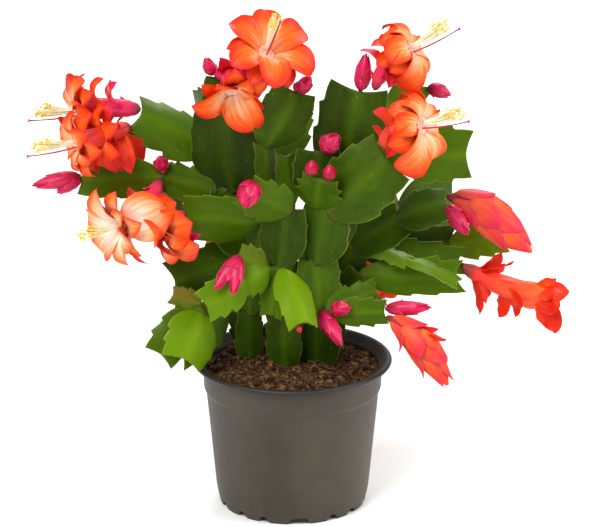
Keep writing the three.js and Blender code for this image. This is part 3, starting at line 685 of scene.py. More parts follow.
class Segment:
    def __init__(self, name, base, lean, out, length, width, roll, bow, fold):
        self.name = name
        self.base = base
        self.length = length
        self.halfWidth = width / 2
        self.bow = bow
        self.fold = fold
        self.along = heading(lean, out)
        front = squareTo(self.along, forwards)
        turn = math.radians(roll)
        self.face = front * math.cos(turn) + np.cross(self.along, front) * math.sin(turn)
        self.side = np.cross(self.along, self.face)

    def point(self, x, q, lift=0.0):
        x, q, lift = (np.asarray(v, float)[..., None] for v in (x, q, lift))
        arch = self.bow * 4 * q * (1 - q)
        return (self.base + self.along * (self.length * q) + self.side * (self.halfWidth * x)
                + self.face * (arch + lift - self.fold * x * x))

    def seat(self, place, depth):
        horn, middle = stemPlan["tipHorn"], stemPlan["tipMiddle"]
        along = middle + (horn - middle) * abs(place) * 0.8 - depth / self.length
        return self.point(place * 0.8 * stemPlan["tipWidth"], along)


def plantSegments():
    grown = {}
    for name, parent, place, *form in segmentRows:
        if parent:
            base = grown[parent].seat(place, stemPlan["sunkTip"])
        else:
            base = np.array([*stemPlan["roots"][name[0]], stemPlan["rootHeight"]], float)
        grown[name] = Segment(name, base, *form)
    return grown


# One side of the outline: half widths and how far along they lie, with two teeth and a horn at the tip.
def toothedSide(name, dice):
    look = segmentLook
    bite = look["blunt"].get(name, 1.0)
    depth = dice.uniform(*look["notchDepth"]) * bite
    barbs = [dice.uniform(*look["barb"]) * bite for _ in look["teeth"]]
    horn = dice.uniform(*look["horn"]) * (0.4 + 0.6 * bite)
    rows = []

    def notch(place, reach, width, cut, barb):
        tip, floor = width + barb, width - cut * depth
        for t in (0.35, 0.7, 1.0):
            rows.append((floor + (tip - floor) * (1 - t) ** 2, place + reach * t))
        return floor

    for t in np.linspace(0, 1, 12):
        hook = max(0.0, (t - 0.72) / 0.28) ** 2
        rows.append((0.14 + 0.86 * math.sin(math.pi / 2 * t ** 0.8) + barbs[0] * hook, 0.5 * t + 0.03 * hook))
    floor = notch(*look["teeth"][0], barbs[0])
    for t in (0.2, 0.4, 0.6, 0.8, 1.0):
        rows.append((floor + (0.97 - floor) * math.sin(math.pi / 2 * t) + barbs[1] * t ** 4,
                     0.57 + 0.2 * t + 0.025 * t ** 3))
    floor = notch(*look["teeth"][1], barbs[1])
    for t in (0.17, 0.34, 0.5, 0.67, 0.84, 1.0):
        rows.append((floor + (0.8 - floor) * t + 0.025 * math.sin(math.pi * t),
                     0.84 + (0.14 + 0.09 * horn) * t))
    return np.array(rows)


# How far along the rows cross the midrib.
def ribRows():
    rows = list(np.linspace(0, 0.5, 12))
    for start, end, count in [(0.5, 0.6, 3), (0.6, 0.76, 5), (0.76, 0.86, 3), (0.86, 0.98, 6)]:
        rows.extend(np.linspace(start, end, count + 1)[1:])
    return np.array(rows)


def segmentBody(skin, segment):
    look = segmentLook
    dice = random.Random("segment " + segment.name)
    right, left = toothedSide(segment.name, dice), toothedSide(segment.name, dice)
    rib = ribRows()
    tipRow = look["tipRound"] / segment.length
    right, left = (np.vstack([s, s[-1] + (0, tipRow)]) for s in (right, left))
    rib = np.append(rib, rib[-1] + tipRow)
    u = np.sin(np.linspace(-math.pi / 2, math.pi / 2, look["columns"]))
    away = np.abs(u)[None, :]
    isRight = (u >= 0)[None, :]
    width = np.where(isRight, right[:, :1], left[:, :1])
    edge = np.where(isRight, right[:, 1:], left[:, 1:])
    q = rib[:, None] + (edge - rib[:, None]) * away ** look["tipDip"]
    x = u[None, :] * width
    phase = dice.uniform(0, 6.3)
    wave = look["wave"] * segment.length / 45 * away ** 2
    lift = wave * np.sin(2 * math.pi * look["waves"] * q + phase + np.where(isRight, 0.0, 2.1))
    half = look["edgeHalf"] + (look["midHalf"] - look["edgeHalf"]) * (1 - away ** 1.3)
    half = half + look["ribHeight"] * np.exp(-(x * segment.halfWidth / look["ribWidth"]) ** 2)
    half = half * np.sqrt(np.clip(1 - away ** 7, 0, 1))
    half = half * np.interp(rib, [0, 0.1, 0.9, 0.98, 0.98 + tipRow], [0.9, 1, 0.9, 0.7, 0.2])[:, None]
    points = segment.point(x, q, lift)
    normals = np.broadcast_to(segment.face, points.shape)
    usual = look["rootYoung"] if segment.name[1:] == "1" else look["usualYoung"]
    young = look["young"].get(segment.name, usual) + dice.uniform(-0.05, 0.05)
    skin.loft(bladeRings(points, normals, half), flat=True,
              across=bladeMarks(np.broadcast_to(u, q.shape)), along=bladeMarks(q),
              young=young, tint=dice.random(), woody=0.7 if young < 0.6 else 0.2,
              rust=look["rust"].get(segment.name, 0.0),
              margin=dice.uniform(0.1, 0.45) + 0.3 * young)


segments = plantSegments()

for letter in stemPlan["roots"]:
    stem = Skin("across", "along", "young", "tint", "woody", "margin", "rust")
    for segment in segments.values():
        if segment.name[0] == letter:
            segmentBody(stem, segment)
    stem.piece("stem" + letter.upper(), leafMaterial, "leaf", "stem_" + letter)
print("stems are grown:", len(segments), "segments")


# Bristles in the notches and along the blunt tips

bristleLook = {
    "notchRows": (14, 22),
    "notchHairs": 3,
    "tipHairs": 9,
    "length": (0.9, 2.4),
    "radius": 0.13,
    "tufts": 5,
    "tuftHairs": 6,
    "tuftSize": 0.95,
}


def bristle(skin, root, direction, length):
    up = squareTo(direction, np.array([0.3, 0.5, 0.8]))
    side = np.cross(direction, up)
    centres = np.array([root - direction * 0.4, root + direction * length * 0.5, root + direction * length])
    rings = turned(centres, [up] * 3, [side] * 3, np.array([1, 0.7, 0.15]) * bristleLook["radius"], 3)
    skin.loft(rings, along=np.array([[0.0], [0.5], [1.0]]))


def bristleSegment(skin, segment):
    dice = random.Random("bristles " + segment.name)
    toothed = random.Random("segment " + segment.name)
    sides = {sign: toothedSide(segment.name, toothed) for sign in (1, -1)}
    for sign, rows in sides.items():
        for row in bristleLook["notchRows"]:
            width, q = rows[row]
            for _ in range(bristleLook["notchHairs"]):
                root = segment.point(sign * width, q, dice.uniform(-0.3, 0.3))
                way = segment.along * dice.uniform(0.5, 1.2) + segment.side * sign * dice.uniform(0.3, 1.0)
                way = way + segment.face * dice.uniform(-0.5, 0.5)
                bristle(skin, root, way / np.linalg.norm(way), dice.uniform(*bristleLook["length"]))
    for _ in range(bristleLook["tipHairs"]):
        u = dice.uniform(-0.8, 0.8)
        q = 0.98 + 0.09 * abs(u) ** 1.6
        root = segment.point(u * 0.8, q, dice.uniform(-0.3, 0.3))
        way = segment.along + segment.side * dice.uniform(-0.6, 0.6) + segment.face * dice.uniform(-0.6, 0.6)
        bristle(skin, root, way / np.linalg.norm(way), dice.uniform(*bristleLook["length"]))


# Pale wool in the areoles of the tip, each tuft a ball of short hairs.
def woolSegment(skin, segment):
    dice = random.Random("wool " + segment.name)
    for _ in range(bristleLook["tufts"]):
        u = dice.uniform(-0.7, 0.7)
        root = segment.point(u * 0.8, 0.975 + 0.09 * abs(u) ** 1.6, dice.uniform(-0.4, 0.4))
        for _ in range(bristleLook["tuftHairs"]):
            way = np.array([dice.gauss(0, 1) for _ in range(3)]) + segment.along * 0.6
            bristle(skin, root, way / np.linalg.norm(way), bristleLook["tuftSize"] * dice.uniform(0.6, 1.3))


bristles = Skin("along")
wool = Skin("along")
for segment in segments.values():
    bristleSegment(bristles, segment)
    woolSegment(wool, segment)
wool.piece("wool", makeThreadMaterial("wool"), "leaf")
bristles.piece("bristles", makeThreadMaterial("bristle"), "leaf")
print("bristles are set")


# Blooms

bloomPlan = {
    "openTube": [(0, 0.9), (0.05, 2.6), (0.13, 3.4), (0.25, 3.6), (0.4, 3.9), (0.55, 4.3), (0.7, 4.7),
                 (0.88, 5.1), (1, 5.4)],
    "closedTube": [(0, 0.9), (0.06, 2.4), (0.15, 3.6), (0.28, 5.6), (0.4, 7.4), (0.55, 8.9), (0.7, 10),
                   (0.88, 10.5), (1, 10.6)],
    "closedTip": [(0, 10.6), (8, 9.6), (17, 6.8), (28, 0.7)],
    "wiltedTube": [(0, 1.3), (0.05, 2.6), (0.13, 4.9), (0.19, 5.2), (0.28, 5.0), (0.45, 6.6), (0.7, 7.8),
                   (0.88, 8.8), (1, 6.6)],
    "throat": [(1, 4.9), (0.95, 4.3), (0.9, 3.6), (0.88, 2.0)],
    "tubeCount": 24,
    "dusk": (0, 0.08, 0.16),
    "wiltedDusk": (0, 0.15, 0.19),
    "scales": [(0.2, 50), (0.25, 170), (0.3, 290)],                 # how far along, side
    "sheaths": [(0.42, 1.02, 50), (0.12, 0.62, 56)],                # from, to, half angle
    "closedLayers": [(0.06, 0.4, 3, 60), (0.2, 0.6, 3, 62), (0.36, 0.8, 3, 66), (0.55, 0.99, 3, 72)],
    "stamens": [1, 3, 4, 5, 7, 8, 12, 13],
    "styles": [1, 3, 4, 7, 8, 12, 13],
}
# What sets a bloom apart. sizes and widths are those of its six petals, swept how much further these bend,
# fuller the place and size of one more ring of petals, and freeTips how far closed petals stand off.
bloomTraits = {
    "bloom_1": {"sizes": (0.95, 1.0, 1.1, 1.12, 1.0, 0.92), "blush": 0.8, "warmth": 0.14},
    "bloom_2": {"sizes": (0.8, 1.05, 0, 1.25, 0.6, 0.8), "widths": (1.2, 1.5, 1.0, 1.2, 1.2, 1.2),
                "pointed": True, "blush": 1.3},
    "bloom_3": {"sizes": (0.95, 1.1, 1.1, 1.1, 1.05, 0.85), "fuller": (0.68, 0.9), "ragged": 1.3,
                "bulk": 1.35, "blush": 1.1, "warmth": -0.02},
    "bloom_4": {"sizes": (0.8, 0.7, 0.7, 0.65, 0.8, 0.8), "fuller": (0.6, 0.85), "ragged": 2.6,
                "bulk": 1.25, "blush": 0.5, "warmth": 0.06},
    "bloom_5": {"sizes": (1.05, 0.95, 1.0, 0.85, 0.9, 0.6), "bulk": 1.15, "warmth": -0.22},
    "bloom_6": {"sizes": (1.4, 1.5, 1.5, 1.6, 1.6, 1.4), "fuller": (0.7, 1.0), "warmth": -0.06},
    "bloom_7": {"sizes": (0.8, 1.0, 1.15, 1.15, 1.0, 0.75), "swept": 1.14, "fuller": (0.68, 0.8),
                "warmth": 0.04},
    "bloom_8": {"sizes": (0.85, 0.8, 1.3, 1.35, 1.0, 1.0), "swept": 1.1, "bulk": 1.1, "blush": 0.35,
                "warmth": 0.02},
    "bloom_9": {"freeTips": 9.0, "blush": 0.65},
    "bloom_10": {"blush": 0.25, "warmth": 0.15},
    "bloom_11": {"freeTips": 30.0, "blush": 0.5, "warmth": 0.2},
}
# Three rings of petals: how far along the tube, on which of its six sides, length, width, how far they turn
# from the tube's line at root and tip, and the half width along them. Odd ones tuck in and curl more.
petalPlan = {
    "outer": {"at": 0.43, "sides": (0, 2, 3, 5), "length": 18, "width": 10, "root": 32, "tip": 95,
              "outline": [(0, 0.6), (0.15, 0.78), (0.35, 0.96), (0.5, 1.0), (0.68, 0.88), (0.84, 0.56),
                          (0.95, 0.2), (1, 0.03)]},
    "middle": {"at": 0.9, "sides": (0.5, 1.5, 2.5, 3.5, 4.5, 5.5), "length": 25, "width": 15, "root": 30,
               "tip": 128,
               "outline": [(0, 0.55), (0.15, 0.74), (0.35, 0.97), (0.52, 1.02), (0.7, 0.9), (0.85, 0.58),
                           (0.95, 0.22), (1, 0.03)]},
    "inner": {"at": 1.0, "sides": (0, 1, 2, 3, 4, 5), "length": 26, "width": 18, "root": 28, "tip": 125,
              "outline": [(0, 0.4), (0.12, 0.6), (0.3, 0.88), (0.5, 1.03), (0.66, 1.04), (0.8, 0.86),
                          (0.92, 0.46), (1, 0.04)]},
    "rows": 17,
    "columns": 13,
    "half": 0.34,
    "cup": 0.24,
    "ripple": 0.8,
    "ripples": 1.6,
    "groove": (0.35, 0.9),       # its depth and half width
    "twistBy": 3,                # full after a third of the length
    "inset": 0.866,
    "sunk": 0.5,
    "tipStray": 6,
    "oddCurl": 8.0,
    "oddTuck": 0.45,
}

# Each row: name, the segment that carries it, its place across that one's tip, lean and out at the root,
# lean and out at the mouth, length of the tube, size of the petals, how far they open (1 is full), the
# turn of the petals round the tube, and how much further the upper ones bend back.
bloomRows = [
    ("bloom_1", "l5", 0.6, 67, 52, 22, 32, 43.8, 1, 1, 30, -20),
    ("bloom_2", "l5", -0.6, 50, 40, 175, 50, 32, 0.86, 0.8, 12, 20),
    ("bloom_3", "l7", 0.3, -80, 5, -98, 15, 37, 0.9, 1.25, 0, 5),
    ("bloom_4", "l7", -0.9, -79, 63, -100, 25, 44, 0.85, 1.2, 20, 10),
    ("bloom_5", "l8", -0.3, -163, 56, -108, 35, 48, 0.92, 0.95, -18, 10),
    ("bloom_6", "l11", 0.2, -150, 55, -110, 0, 20, 0.58, 1.3, 0, 0),
    ("bloom_7", "t8", 0.7, 13, 8, 64, 15, 39, 0.92, 1.5, 0, 0),
    ("bloom_8", "t4", -0.6, 16, 36, 78, 30, 42.5, 0.95, 1.5, 0, 20),
    ("bloom_9", "r4", -0.6, 100, 5, 130, 10, 34, 1.05, 0.3, 0, 25),
    ("bloom_10", "r7", 0.3, 125, 5, 95, 8, 56, 0.8, 1, 0, 20),
    ("bloom_11", "t12", 0.5, 110, 25, 145, 20, 36, 0.75, 0.25, 0, 25),
    ("bloom_12", "p10", 0, 180, -60, 180, -20, 40, 0.95, 1.1, 0, 10),
    ("bloom_13", "q9", 0, 170, -60, 170, -20, 40, 0.95, 1.1, 0, 10),
]

# The spent bloom's lobes, as how far along the tube, the side, size, width, curl and twist, and the rags
# at its end, with how far they turn from the tube's line at root and tip instead of the curl.
wiltedPlan = {
    "lobes": [
        (0.19, -10, 1.35, 0.85, -25, 50), (0.22, 25, 1.6, 0.45, -50, 40), (0.18, 180, 1.65, 0.5, -20, 45),
        (0.26, 330, 1.15, 0.9, -50, -60), (0.22, 150, 1.2, 0.6, -30, 50), (0.3, 215, 1.0, 0.8, 0, -50),
    ],
    "rags": [
        (0.42, 30, 0.7, 0.9, 0, 35, 30), (0.5, 190, 0.9, 0.9, 20, 110, 60), (0.55, 120, 0.9, 0.9, 10, 60, 0),
        (0.62, 200, 0.8, 0.8, 20, 90, 60), (0.85, 0, 0.8, 1.0, 5, 45, 50), (0.88, 60, 0.95, 1.0, 0, 30, 20),
        (0.9, 120, 0.9, 1.0, 10, 50, 20), (0.88, 170, 1.25, 1.0, 5, 80, 70),
        (0.92, 240, 0.95, 1.0, 5, 70, -40), (0.92, 300, 1.0, 1.05, 0, 25, 30),
    ],
    "inset": 0.8,
    "folds": [(0.11, 5, 5), (0.06, 3, -9)],                         # height, how many, how they wind
    "threads": [(0.0, 180, 16, 0.22, 150), (1.0, 0, 9, 0.5, 10)],   # u, side, length, radius, bend
}

# Tepals out of line with the rest, such as limp or folded ones: the kind, where it grows, its side, size,
# width, its turn at root and tip, its twist, and how much warmer and pinker it is.
strayPlan = {
    "bloom_4": [
        ("outer", 0.04, 185, 1.7, 0.9, 135, 100, 50, 0, 0.4),
        ("outer", 0.08, 158, 1.6, 0.8, 120, 95, -55, 0, 0.4),
        ("outer", 0.16, 178, 1.5, 0.8, 75, 100, 65, 0, 0.4),
        ("outer", 0.22, 205, 1.6, 0.8, 60, 90, 50, 0, 0.4),
        ("outer", 0.32, 170, 1.3, 1.1, 80, 115, -50, 0, 0.4),
        ("outer", 0.5, 190, 1.3, 1.2, 75, 110, 60, 0, 0.4),
        ("outer", 0.62, 160, 1.35, 1.2, 70, 115, -45, 0, 0.4),
    ],
    "bloom_5": [
        ("outer", 0.98, 205, 1.5, 0.3, 60, 135, 0, 0.12, 0.5),
        ("inner", 0.97, 285, 1.3, 1.35, 95, 165, 0, -0.1, 1),
    ],
    "bloom_6": [
        ("inner", 0.95, 300, 1.7, 1.2, 100, 150, 0, 0, 1),
        ("inner", 0.95, 265, 2.0, 1.2, 105, 160, 0, 0, 1),
        ("inner", 0.95, 228, 1.9, 1.2, 100, 160, 0, 0, 1),
        ("outer", 0.9, 240, 2.6, 0.6, 110, 165, 0, 0, 1.5),
    ],
    "bloom_11": [
        ("outer", 0.3, 185, 1.5, 0.9, 12, 32, 60, 0.1, 0.3),
        ("outer", 0.62, 20, 1.3, 0.5, 10, 40, 50, -0.3, 0.8),
        ("outer", 0.7, 55, 1.2, 0.4, 12, 45, 0, -0.35, 0.8),
        ("outer", 0.5, 5, 1.1, 0.6, 14, 50, 60, -0.2, 1),
    ],
}


class Bloom:
    def __init__(self, name, carrier, place, lean0, out0, lean1, out1, length, size, opening, turn, curl):
        self.name = name
        base = segments[carrier].seat(place, -stemPlan["clearance"])
        bend = base + heading(lean0, out0) * length / 2
        self.line = (base, bend, bend + heading(lean1, out1) * length / 2)
        self.length = length
        self.size = size
        self.opening = opening
        self.turn = turn
        self.curl = curl
        self.slim = 0.4 + 0.6 * size
        self.traits = bloomTraits.get(name, {})
        self.bulk = self.traits.get("bulk", 1.0)
        self.warmth = self.traits.get("warmth", 0.0)
        self.blush = self.traits.get("blush", 1.0)
        self.wilted = name == "bloom_10"
        kind = "wiltedTube" if self.wilted else "openTube" if opening > 0.5 else "closedTube"
        self.tubeTable = bloomPlan[kind]
        self.dice = random.Random(name)

    def frame(self, u):
        start, bend, end = self.line
        centre = start * (1 - u) ** 2 + bend * 2 * u * (1 - u) + end * u * u
        along = (bend - start) * (1 - u) + (end - bend) * u
        along = along / np.linalg.norm(along)
        up = squareTo(along, upwards)
        return centre, along, up, np.cross(along, up)

    # The place on the bloom's axis this many millimetres from its root, on past the mouth.
    def axis(self, reach):
        u = min(reach / self.length, 1.0)
        centre, along, up, side = self.frame(u)
        return centre + along * max(0.0, reach - self.length), along, up, side

    def tubeRadius(self, u):
        return smooth(self.tubeTable, u) * self.slim * self.bulk

    def outward(self, up, side, angle):
        return up * math.cos(math.radians(angle)) + side * math.sin(math.radians(angle))

    def petal(self, skin, kind, u, angle, tuck=0.0, **style):
        plan = petalPlan[kind]
        outline = petalPlan["outer" if "pointed" in self.traits else kind]["outline"]
        dice = self.dice
        size = self.size * style.get("size", 1.0)
        centre, along, up, side = self.frame(u)
        outward = self.outward(up, side, angle)
        radius = style.get("radius", self.tubeRadius(u))
        root = centre + outward * (radius * petalPlan["inset"] + tuck) - along * (petalPlan["sunk"] + tuck)
        curl = self.curl * math.cos(math.radians(angle)) + style.get("extraCurl", 0.0)
        opening = self.opening * style.get("swept", 1.0)
        start = math.radians(style.get("root", plan["root"] * opening))
        stray = dice.uniform(-petalPlan["tipStray"], petalPlan["tipStray"])
        end = math.radians(style.get("tip", (plan["tip"] + curl) * opening) + stray)
        length = plan["length"] * size
        s = np.linspace(0, 1, petalPlan["rows"])[:, None]
        now = start + (end - start) * s
        rate = (end - start) / length
        spine = (root + along * (np.sin(now) - math.sin(start)) / rate
                 + outward * (math.cos(start) - np.cos(now)) / rate)
        direction = along * np.cos(now) + outward * np.sin(now)
        normal = outward * np.cos(now) - along * np.sin(now)
        across = np.cross(direction, normal)
        twist = math.radians(style.get("twist", 0.0)) * np.clip(petalPlan["twistBy"] * s, 0, 1)
        across, normal = (across * np.cos(twist) + normal * np.sin(twist),
                          normal * np.cos(twist) - across * np.sin(twist))
        halfWidth = smooth(outline, s[:, 0]) * plan["width"] * size * style.get("width", 1.0) / 2
        v = np.sin(np.linspace(-math.pi / 2, math.pi / 2, petalPlan["columns"]))
        flat = halfWidth[:, None] * v[None, :]
        cup = petalPlan["cup"] * style.get("cup", 1.0) * halfWidth[:, None] * (v ** 2)[None, :]
        crumple = petalPlan["ripple"] * size * style.get("crumple", self.traits.get("ragged", 1.0))
        crumple = crumple * np.clip(3.5 * halfWidth / plan["width"], 0, 1)[:, None]
        phase = dice.uniform(0, 6.3)
        ripple = crumple * s * (np.abs(v) ** 1.5)[None, :] * np.sin(
            2 * math.pi * petalPlan["ripples"] * s + phase + np.where(v > 0, 0.0, 2.4)[None, :])
        depth, grooveWidth = petalPlan["groove"]
        offset = -cup + ripple + depth * size * np.exp(-(flat / grooveWidth) ** 2)
        points = spine[:, None, :] + across[:, None, :] * flat[..., None]
        points = points + normal[:, None, :] * offset[..., None]
        half = petalPlan["half"] * np.sqrt(np.clip(1 - np.abs(v) ** 5, 0, 1))[None, :] * (1 - 0.5 * s)
        normals = np.broadcast_to(normal[:, None, :], points.shape)
        isInside = bladeBacks(*flat.shape) > 0.5
        sAll = bladeMarks(np.broadcast_to(s, flat.shape))
        vAll = np.abs(bladeMarks(np.broadcast_to(v, flat.shape)))
        if kind != "outer":
            rim = vAll ** 2.4 * np.clip(0.3 + sAll, 0, 1)
            warm = np.where(isInside, 0.08 + 0.66 * sAll ** 1.25 + 0.45 * rim, 0.55 + 0.35 * sAll)
            pink = np.where(isInside, 0.0, 0.4 * (1 - sAll) ** 2) + 0.4 * np.clip(sAll - 0.86, 0, 1) * 4
        else:
            warm = np.where(isInside, 0.5 + 0.45 * sAll, 0.62 + 0.3 * sAll)
            pink = 0.18 + 0.55 * sAll ** 2 + np.where(isInside, 0.0, 0.2)
        warm = warm + self.warmth + style.get("warm", 0.0)
        skin.loft(bladeRings(points, normals, half), flat=True,
                  along=sAll, across=bladeMarks(np.broadcast_to(v, flat.shape)),
                  warm=np.clip(warm, 0, 1), pink=np.clip(pink * style.get("pink", 1.0) * self.blush, 0, 1),
                  tint=dice.random(), dusk=0.0)

    def tube(self, skin):
        outer = np.linspace(0, 1, 25)
        inner, throat = np.array(bloomPlan["throat"]).T
        us = np.append(outer, inner)
        radii = np.append(self.tubeRadius(outer), throat * self.slim * self.bulk)
        self.skinned(skin, [self.frame(u) for u in us], radii, us, np.arange(len(us)) >= len(outer))

    def skinned(self, skin, frames, radii, us, isInner=False):
        count = bloomPlan["tubeCount"]
        centres = np.array([f[0] for f in frames])
        rings = turned(centres, [f[2] for f in frames], [f[3] for f in frames], radii, count, self.turn)
        at = us[:, None]
        if self.wilted:
            angles = np.arange(count)[None, :] * 2 * math.pi / count
            folds = sum(high * np.sin(many * angles + wind * at) for high, many, wind in wiltedPlan["folds"])
            folds = folds * np.clip((at - 0.15) * 5, 0, 1)
            rings = centres[:, None, :] + (rings - centres[:, None, :]) * (1 + folds[..., None])
        isInner = np.broadcast_to(isInner, len(us))[:, None]
        pink = np.where(isInner, 0.1, np.interp(at, [0, 0.15, 0.5, 1], [0.9, 0.85, 0.55, 0.2]))
        warm = np.where(isInner, 0.02, np.interp(at, [0, 0.4, 1], [0.75, 0.55, 0.45]) + self.warmth)
        pink = pink * self.blush
        duskEnd = bloomPlan["wiltedDusk"] if self.wilted else bloomPlan["dusk"]
        dusk = np.where(isInner, 0.0, np.interp(at, duskEnd, [0.85, 0.7, 0.0]))
        round1 = np.linspace(-1, 1, count)[None, :]
        skin.loft(rings, along=np.broadcast_to(at, rings.shape[:2]),
                  across=np.broadcast_to(round1, rings.shape[:2]),
                  warm=warm, pink=pink, dusk=dusk, tint=self.dice.random())

    def scales(self, skin):
        for u, angle in bloomPlan["scales"]:
            self.petal(skin, "outer", u, angle + self.turn, radius=self.tubeRadius(0.2),
                       size=0.5, width=0.95, extraCurl=-50, pink=1.6, crumple=0.4)

    def body(self):
        skin = Skin("along", "across", "warm", "pink", "dusk", "tint")
        if self.opening < 0.5:
            self.closed(skin)
            self.strays(skin)
        elif self.wilted:
            self.tube(skin)
            self.rags(skin)
        else:
            self.tube(skin)
            self.scales(skin)
            self.sheaths(skin)
            self.petals(skin)
        return skin

    def facing(self, side):
        return self.turn + side * 60

    def petals(self, skin):
        outer, middle, inner = (petalPlan[kind] for kind in ("outer", "middle", "inner"))
        oddCurl, oddTuck = petalPlan["oddCurl"], petalPlan["oddTuck"]
        for k in outer["sides"]:
            self.petal(skin, "outer", outer["at"], self.facing(k + 0.5), extraCurl=oddCurl * (k % 2))
        self.strays(skin)
        if "fuller" in self.traits:
            u, size = self.traits["fuller"]
            for k in middle["sides"]:
                self.petal(skin, "middle", u, self.facing(k + 0.1), size=size * self.dice.uniform(0.85, 1.1),
                           warm=0.08, pink=1.4)
        for k in middle["sides"]:
            self.petal(skin, "middle", middle["at"], self.facing(k + 0.5), size=self.dice.uniform(0.88, 1.05))
        even = (1.0,) * len(inner["sides"])
        for k in inner["sides"]:
            size = self.traits.get("sizes", even)[k] * self.dice.uniform(0.95, 1.05)
            if size > 0:
                self.petal(skin, "inner", inner["at"], self.facing(k + 0.5), tuck=oddTuck * (k % 2),
                           extraCurl=oddCurl * (k % 2), size=size, width=self.traits.get("widths", even)[k],
                           swept=self.traits.get("swept", 1.0))

    def strays(self, skin):
        for kind, u, angle, size, width, root, tip, twist, warm, pink in strayPlan.get(self.name, []):
            self.petal(skin, kind, u, angle, size=size, width=width, root=root, tip=tip, twist=twist,
                       warm=warm, pink=pink)

    # Tepals that wrap the tube, with their tips a little free.
    def sheaths(self, skin):
        table = [(u * self.length, self.tubeRadius(u)) for u in np.linspace(0, 1, 9)]
        for layer, (first, last, span) in enumerate(bloomPlan["sheaths"]):
            for k in range(4):
                wrap(skin, self.axis, table, first * self.length, last * self.length,
                     self.turn + k * 90 + layer * 45, span, 0.35 + 0.4 * layer, self.dice, free=2.5,
                     warm=(0.5, 0.9), pink=((0.35 + 0.35 * layer) * self.blush, 0.7 * self.blush))

    # A spent bloom: narrow pointed lobes below the tube, and limp rags at its end.
    def rags(self, skin):
        inset = wiltedPlan["inset"]
        for u, angle, size, width, curl, twist in wiltedPlan["lobes"]:
            self.petal(skin, "outer", u, angle, radius=self.tubeRadius(u) * inset, size=size, width=width,
                       extraCurl=curl, twist=twist, crumple=1.4, warm=0.2, pink=0.15)
        for u, angle, size, width, root, tip, twist in wiltedPlan["rags"]:
            self.petal(skin, "middle", u, angle, radius=self.tubeRadius(u) * inset, size=size, width=width,
                       root=root, tip=tip, twist=twist, crumple=2.6, warm=0.05, pink=0.3, cup=0.5)
        for u, angle, length, radius, bend in wiltedPlan["threads"]:
            centre, along, up, side = self.frame(u)
            outward = self.outward(up, side, angle)
            t = np.linspace(0, 1, 8)[:, None]
            turn = np.radians(bend) * t
            centres = centre + length * t * (along * np.cos(turn) + outward * np.sin(turn))
            skin.loft(turned(centres, [up] * 8, [side] * 8, [radius] * 7 + [radius / 3], 6),
                      warm=0.9, pink=0.2, dusk=0.7, tint=self.dice.random())

    # Petals still wrapped round each other, to a point beyond the mouth.
    def closed(self, skin):
        share = self.size
        tip = [(self.length + ahead * share, radius * share) for ahead, radius in bloomPlan["closedTip"]]
        table = [(u * self.length, float(self.tubeRadius(u))) for u, _ in self.tubeTable] + tip[1:]
        reach = table[-1][0]
        reaches = np.linspace(0, reach, 40)
        self.skinned(skin, [self.axis(r) for r in reaches], smooth(table, reaches) * 0.94, reaches / reach)
        free = self.traits["freeTips"]
        for layer, (first, last, count, span) in enumerate(reversed(bloomPlan["closedLayers"])):
            for k in range(count):
                wrap(skin, self.axis, table, first * reach, last * reach,
                     self.turn + k * 360 / count + layer * 47 + self.dice.uniform(-8, 8), span,
                     0.2 + 0.45 * layer, self.dice, free=free * self.dice.uniform(0.5, 1.3),
                     warm=(0.42, 0.85), pink=((0.02 + 0.14 * layer) * self.blush, self.blush))


# A petal or scale that lies on a round body. span is its half angle where it is widest.
wrapPlan = {
    "outline": [(0, 0.5), (0.14, 0.82), (0.35, 1.0), (0.6, 0.92), (0.8, 0.62), (0.93, 0.26), (1, 0.03)],
    "rows": 15,
    "columns": 9,
    "half": 0.3,
    "risenAt": 0.16,
    "sunk": 0.7,
    "freeFrom": 0.6,
}


def wrap(skin, axis, table, first, last, angle, span, lift, dice, free=5.0, warm=(0.4, 0.7),
         pink=(0.0, 0.0)):
    rows, columns = wrapPlan["rows"], wrapPlan["columns"]
    s = np.linspace(0, 1, rows)
    v = np.sin(np.linspace(-math.pi / 2, math.pi / 2, columns))
    reaches = first + (last - first) * s
    radii = smooth(table, reaches)
    halfAngles = np.radians(span) * smooth(wrapPlan["outline"], s)
    points = np.empty((rows, columns, 3))
    normals = np.empty((rows, columns, 3))
    for i, reach in enumerate(reaches):
        centre, _, up, side = axis(reach)
        theta = math.radians(angle) + halfAngles[i] * v
        normals[i] = np.cos(theta)[:, None] * up + np.sin(theta)[:, None] * side
        rise = min(1.0, s[i] / wrapPlan["risenAt"])
        loose = free * max(0.0, s[i] - wrapPlan["freeFrom"]) ** 2
        away = radii[i] + lift * (1 - 0.75 * v ** 2) * rise + loose - wrapPlan["sunk"] * (1 - rise)
        points[i] = centre + normals[i] * away[:, None]
    half = wrapPlan["half"] * np.sqrt(np.clip(1 - np.abs(v) ** 5, 0, 1))[None, :] * (1 - 0.4 * s[:, None])
    share = bladeMarks(np.broadcast_to(s[:, None], (rows, columns)))
    away = bladeMarks(np.broadcast_to(v, (rows, columns)))
    rim = np.clip(share ** 3 + 0.8 * away ** 6, 0, 1)
    skin.loft(bladeRings(points, normals, half), flat=True, along=share, across=away,
              warm=warm[0] + (warm[1] - warm[0]) * share, pink=pink[0] + (pink[1] - pink[0]) * rim,
              tint=dice.random(), dusk=0.0)


blooms = [Bloom(*row) for row in bloomRows]
for bloom in blooms:
    bloom.body().piece(bloom.name.replace("_", ""), petalMaterial, "petal", bloom.name)
print("blooms are open:", len(blooms))


# Stamens and styles

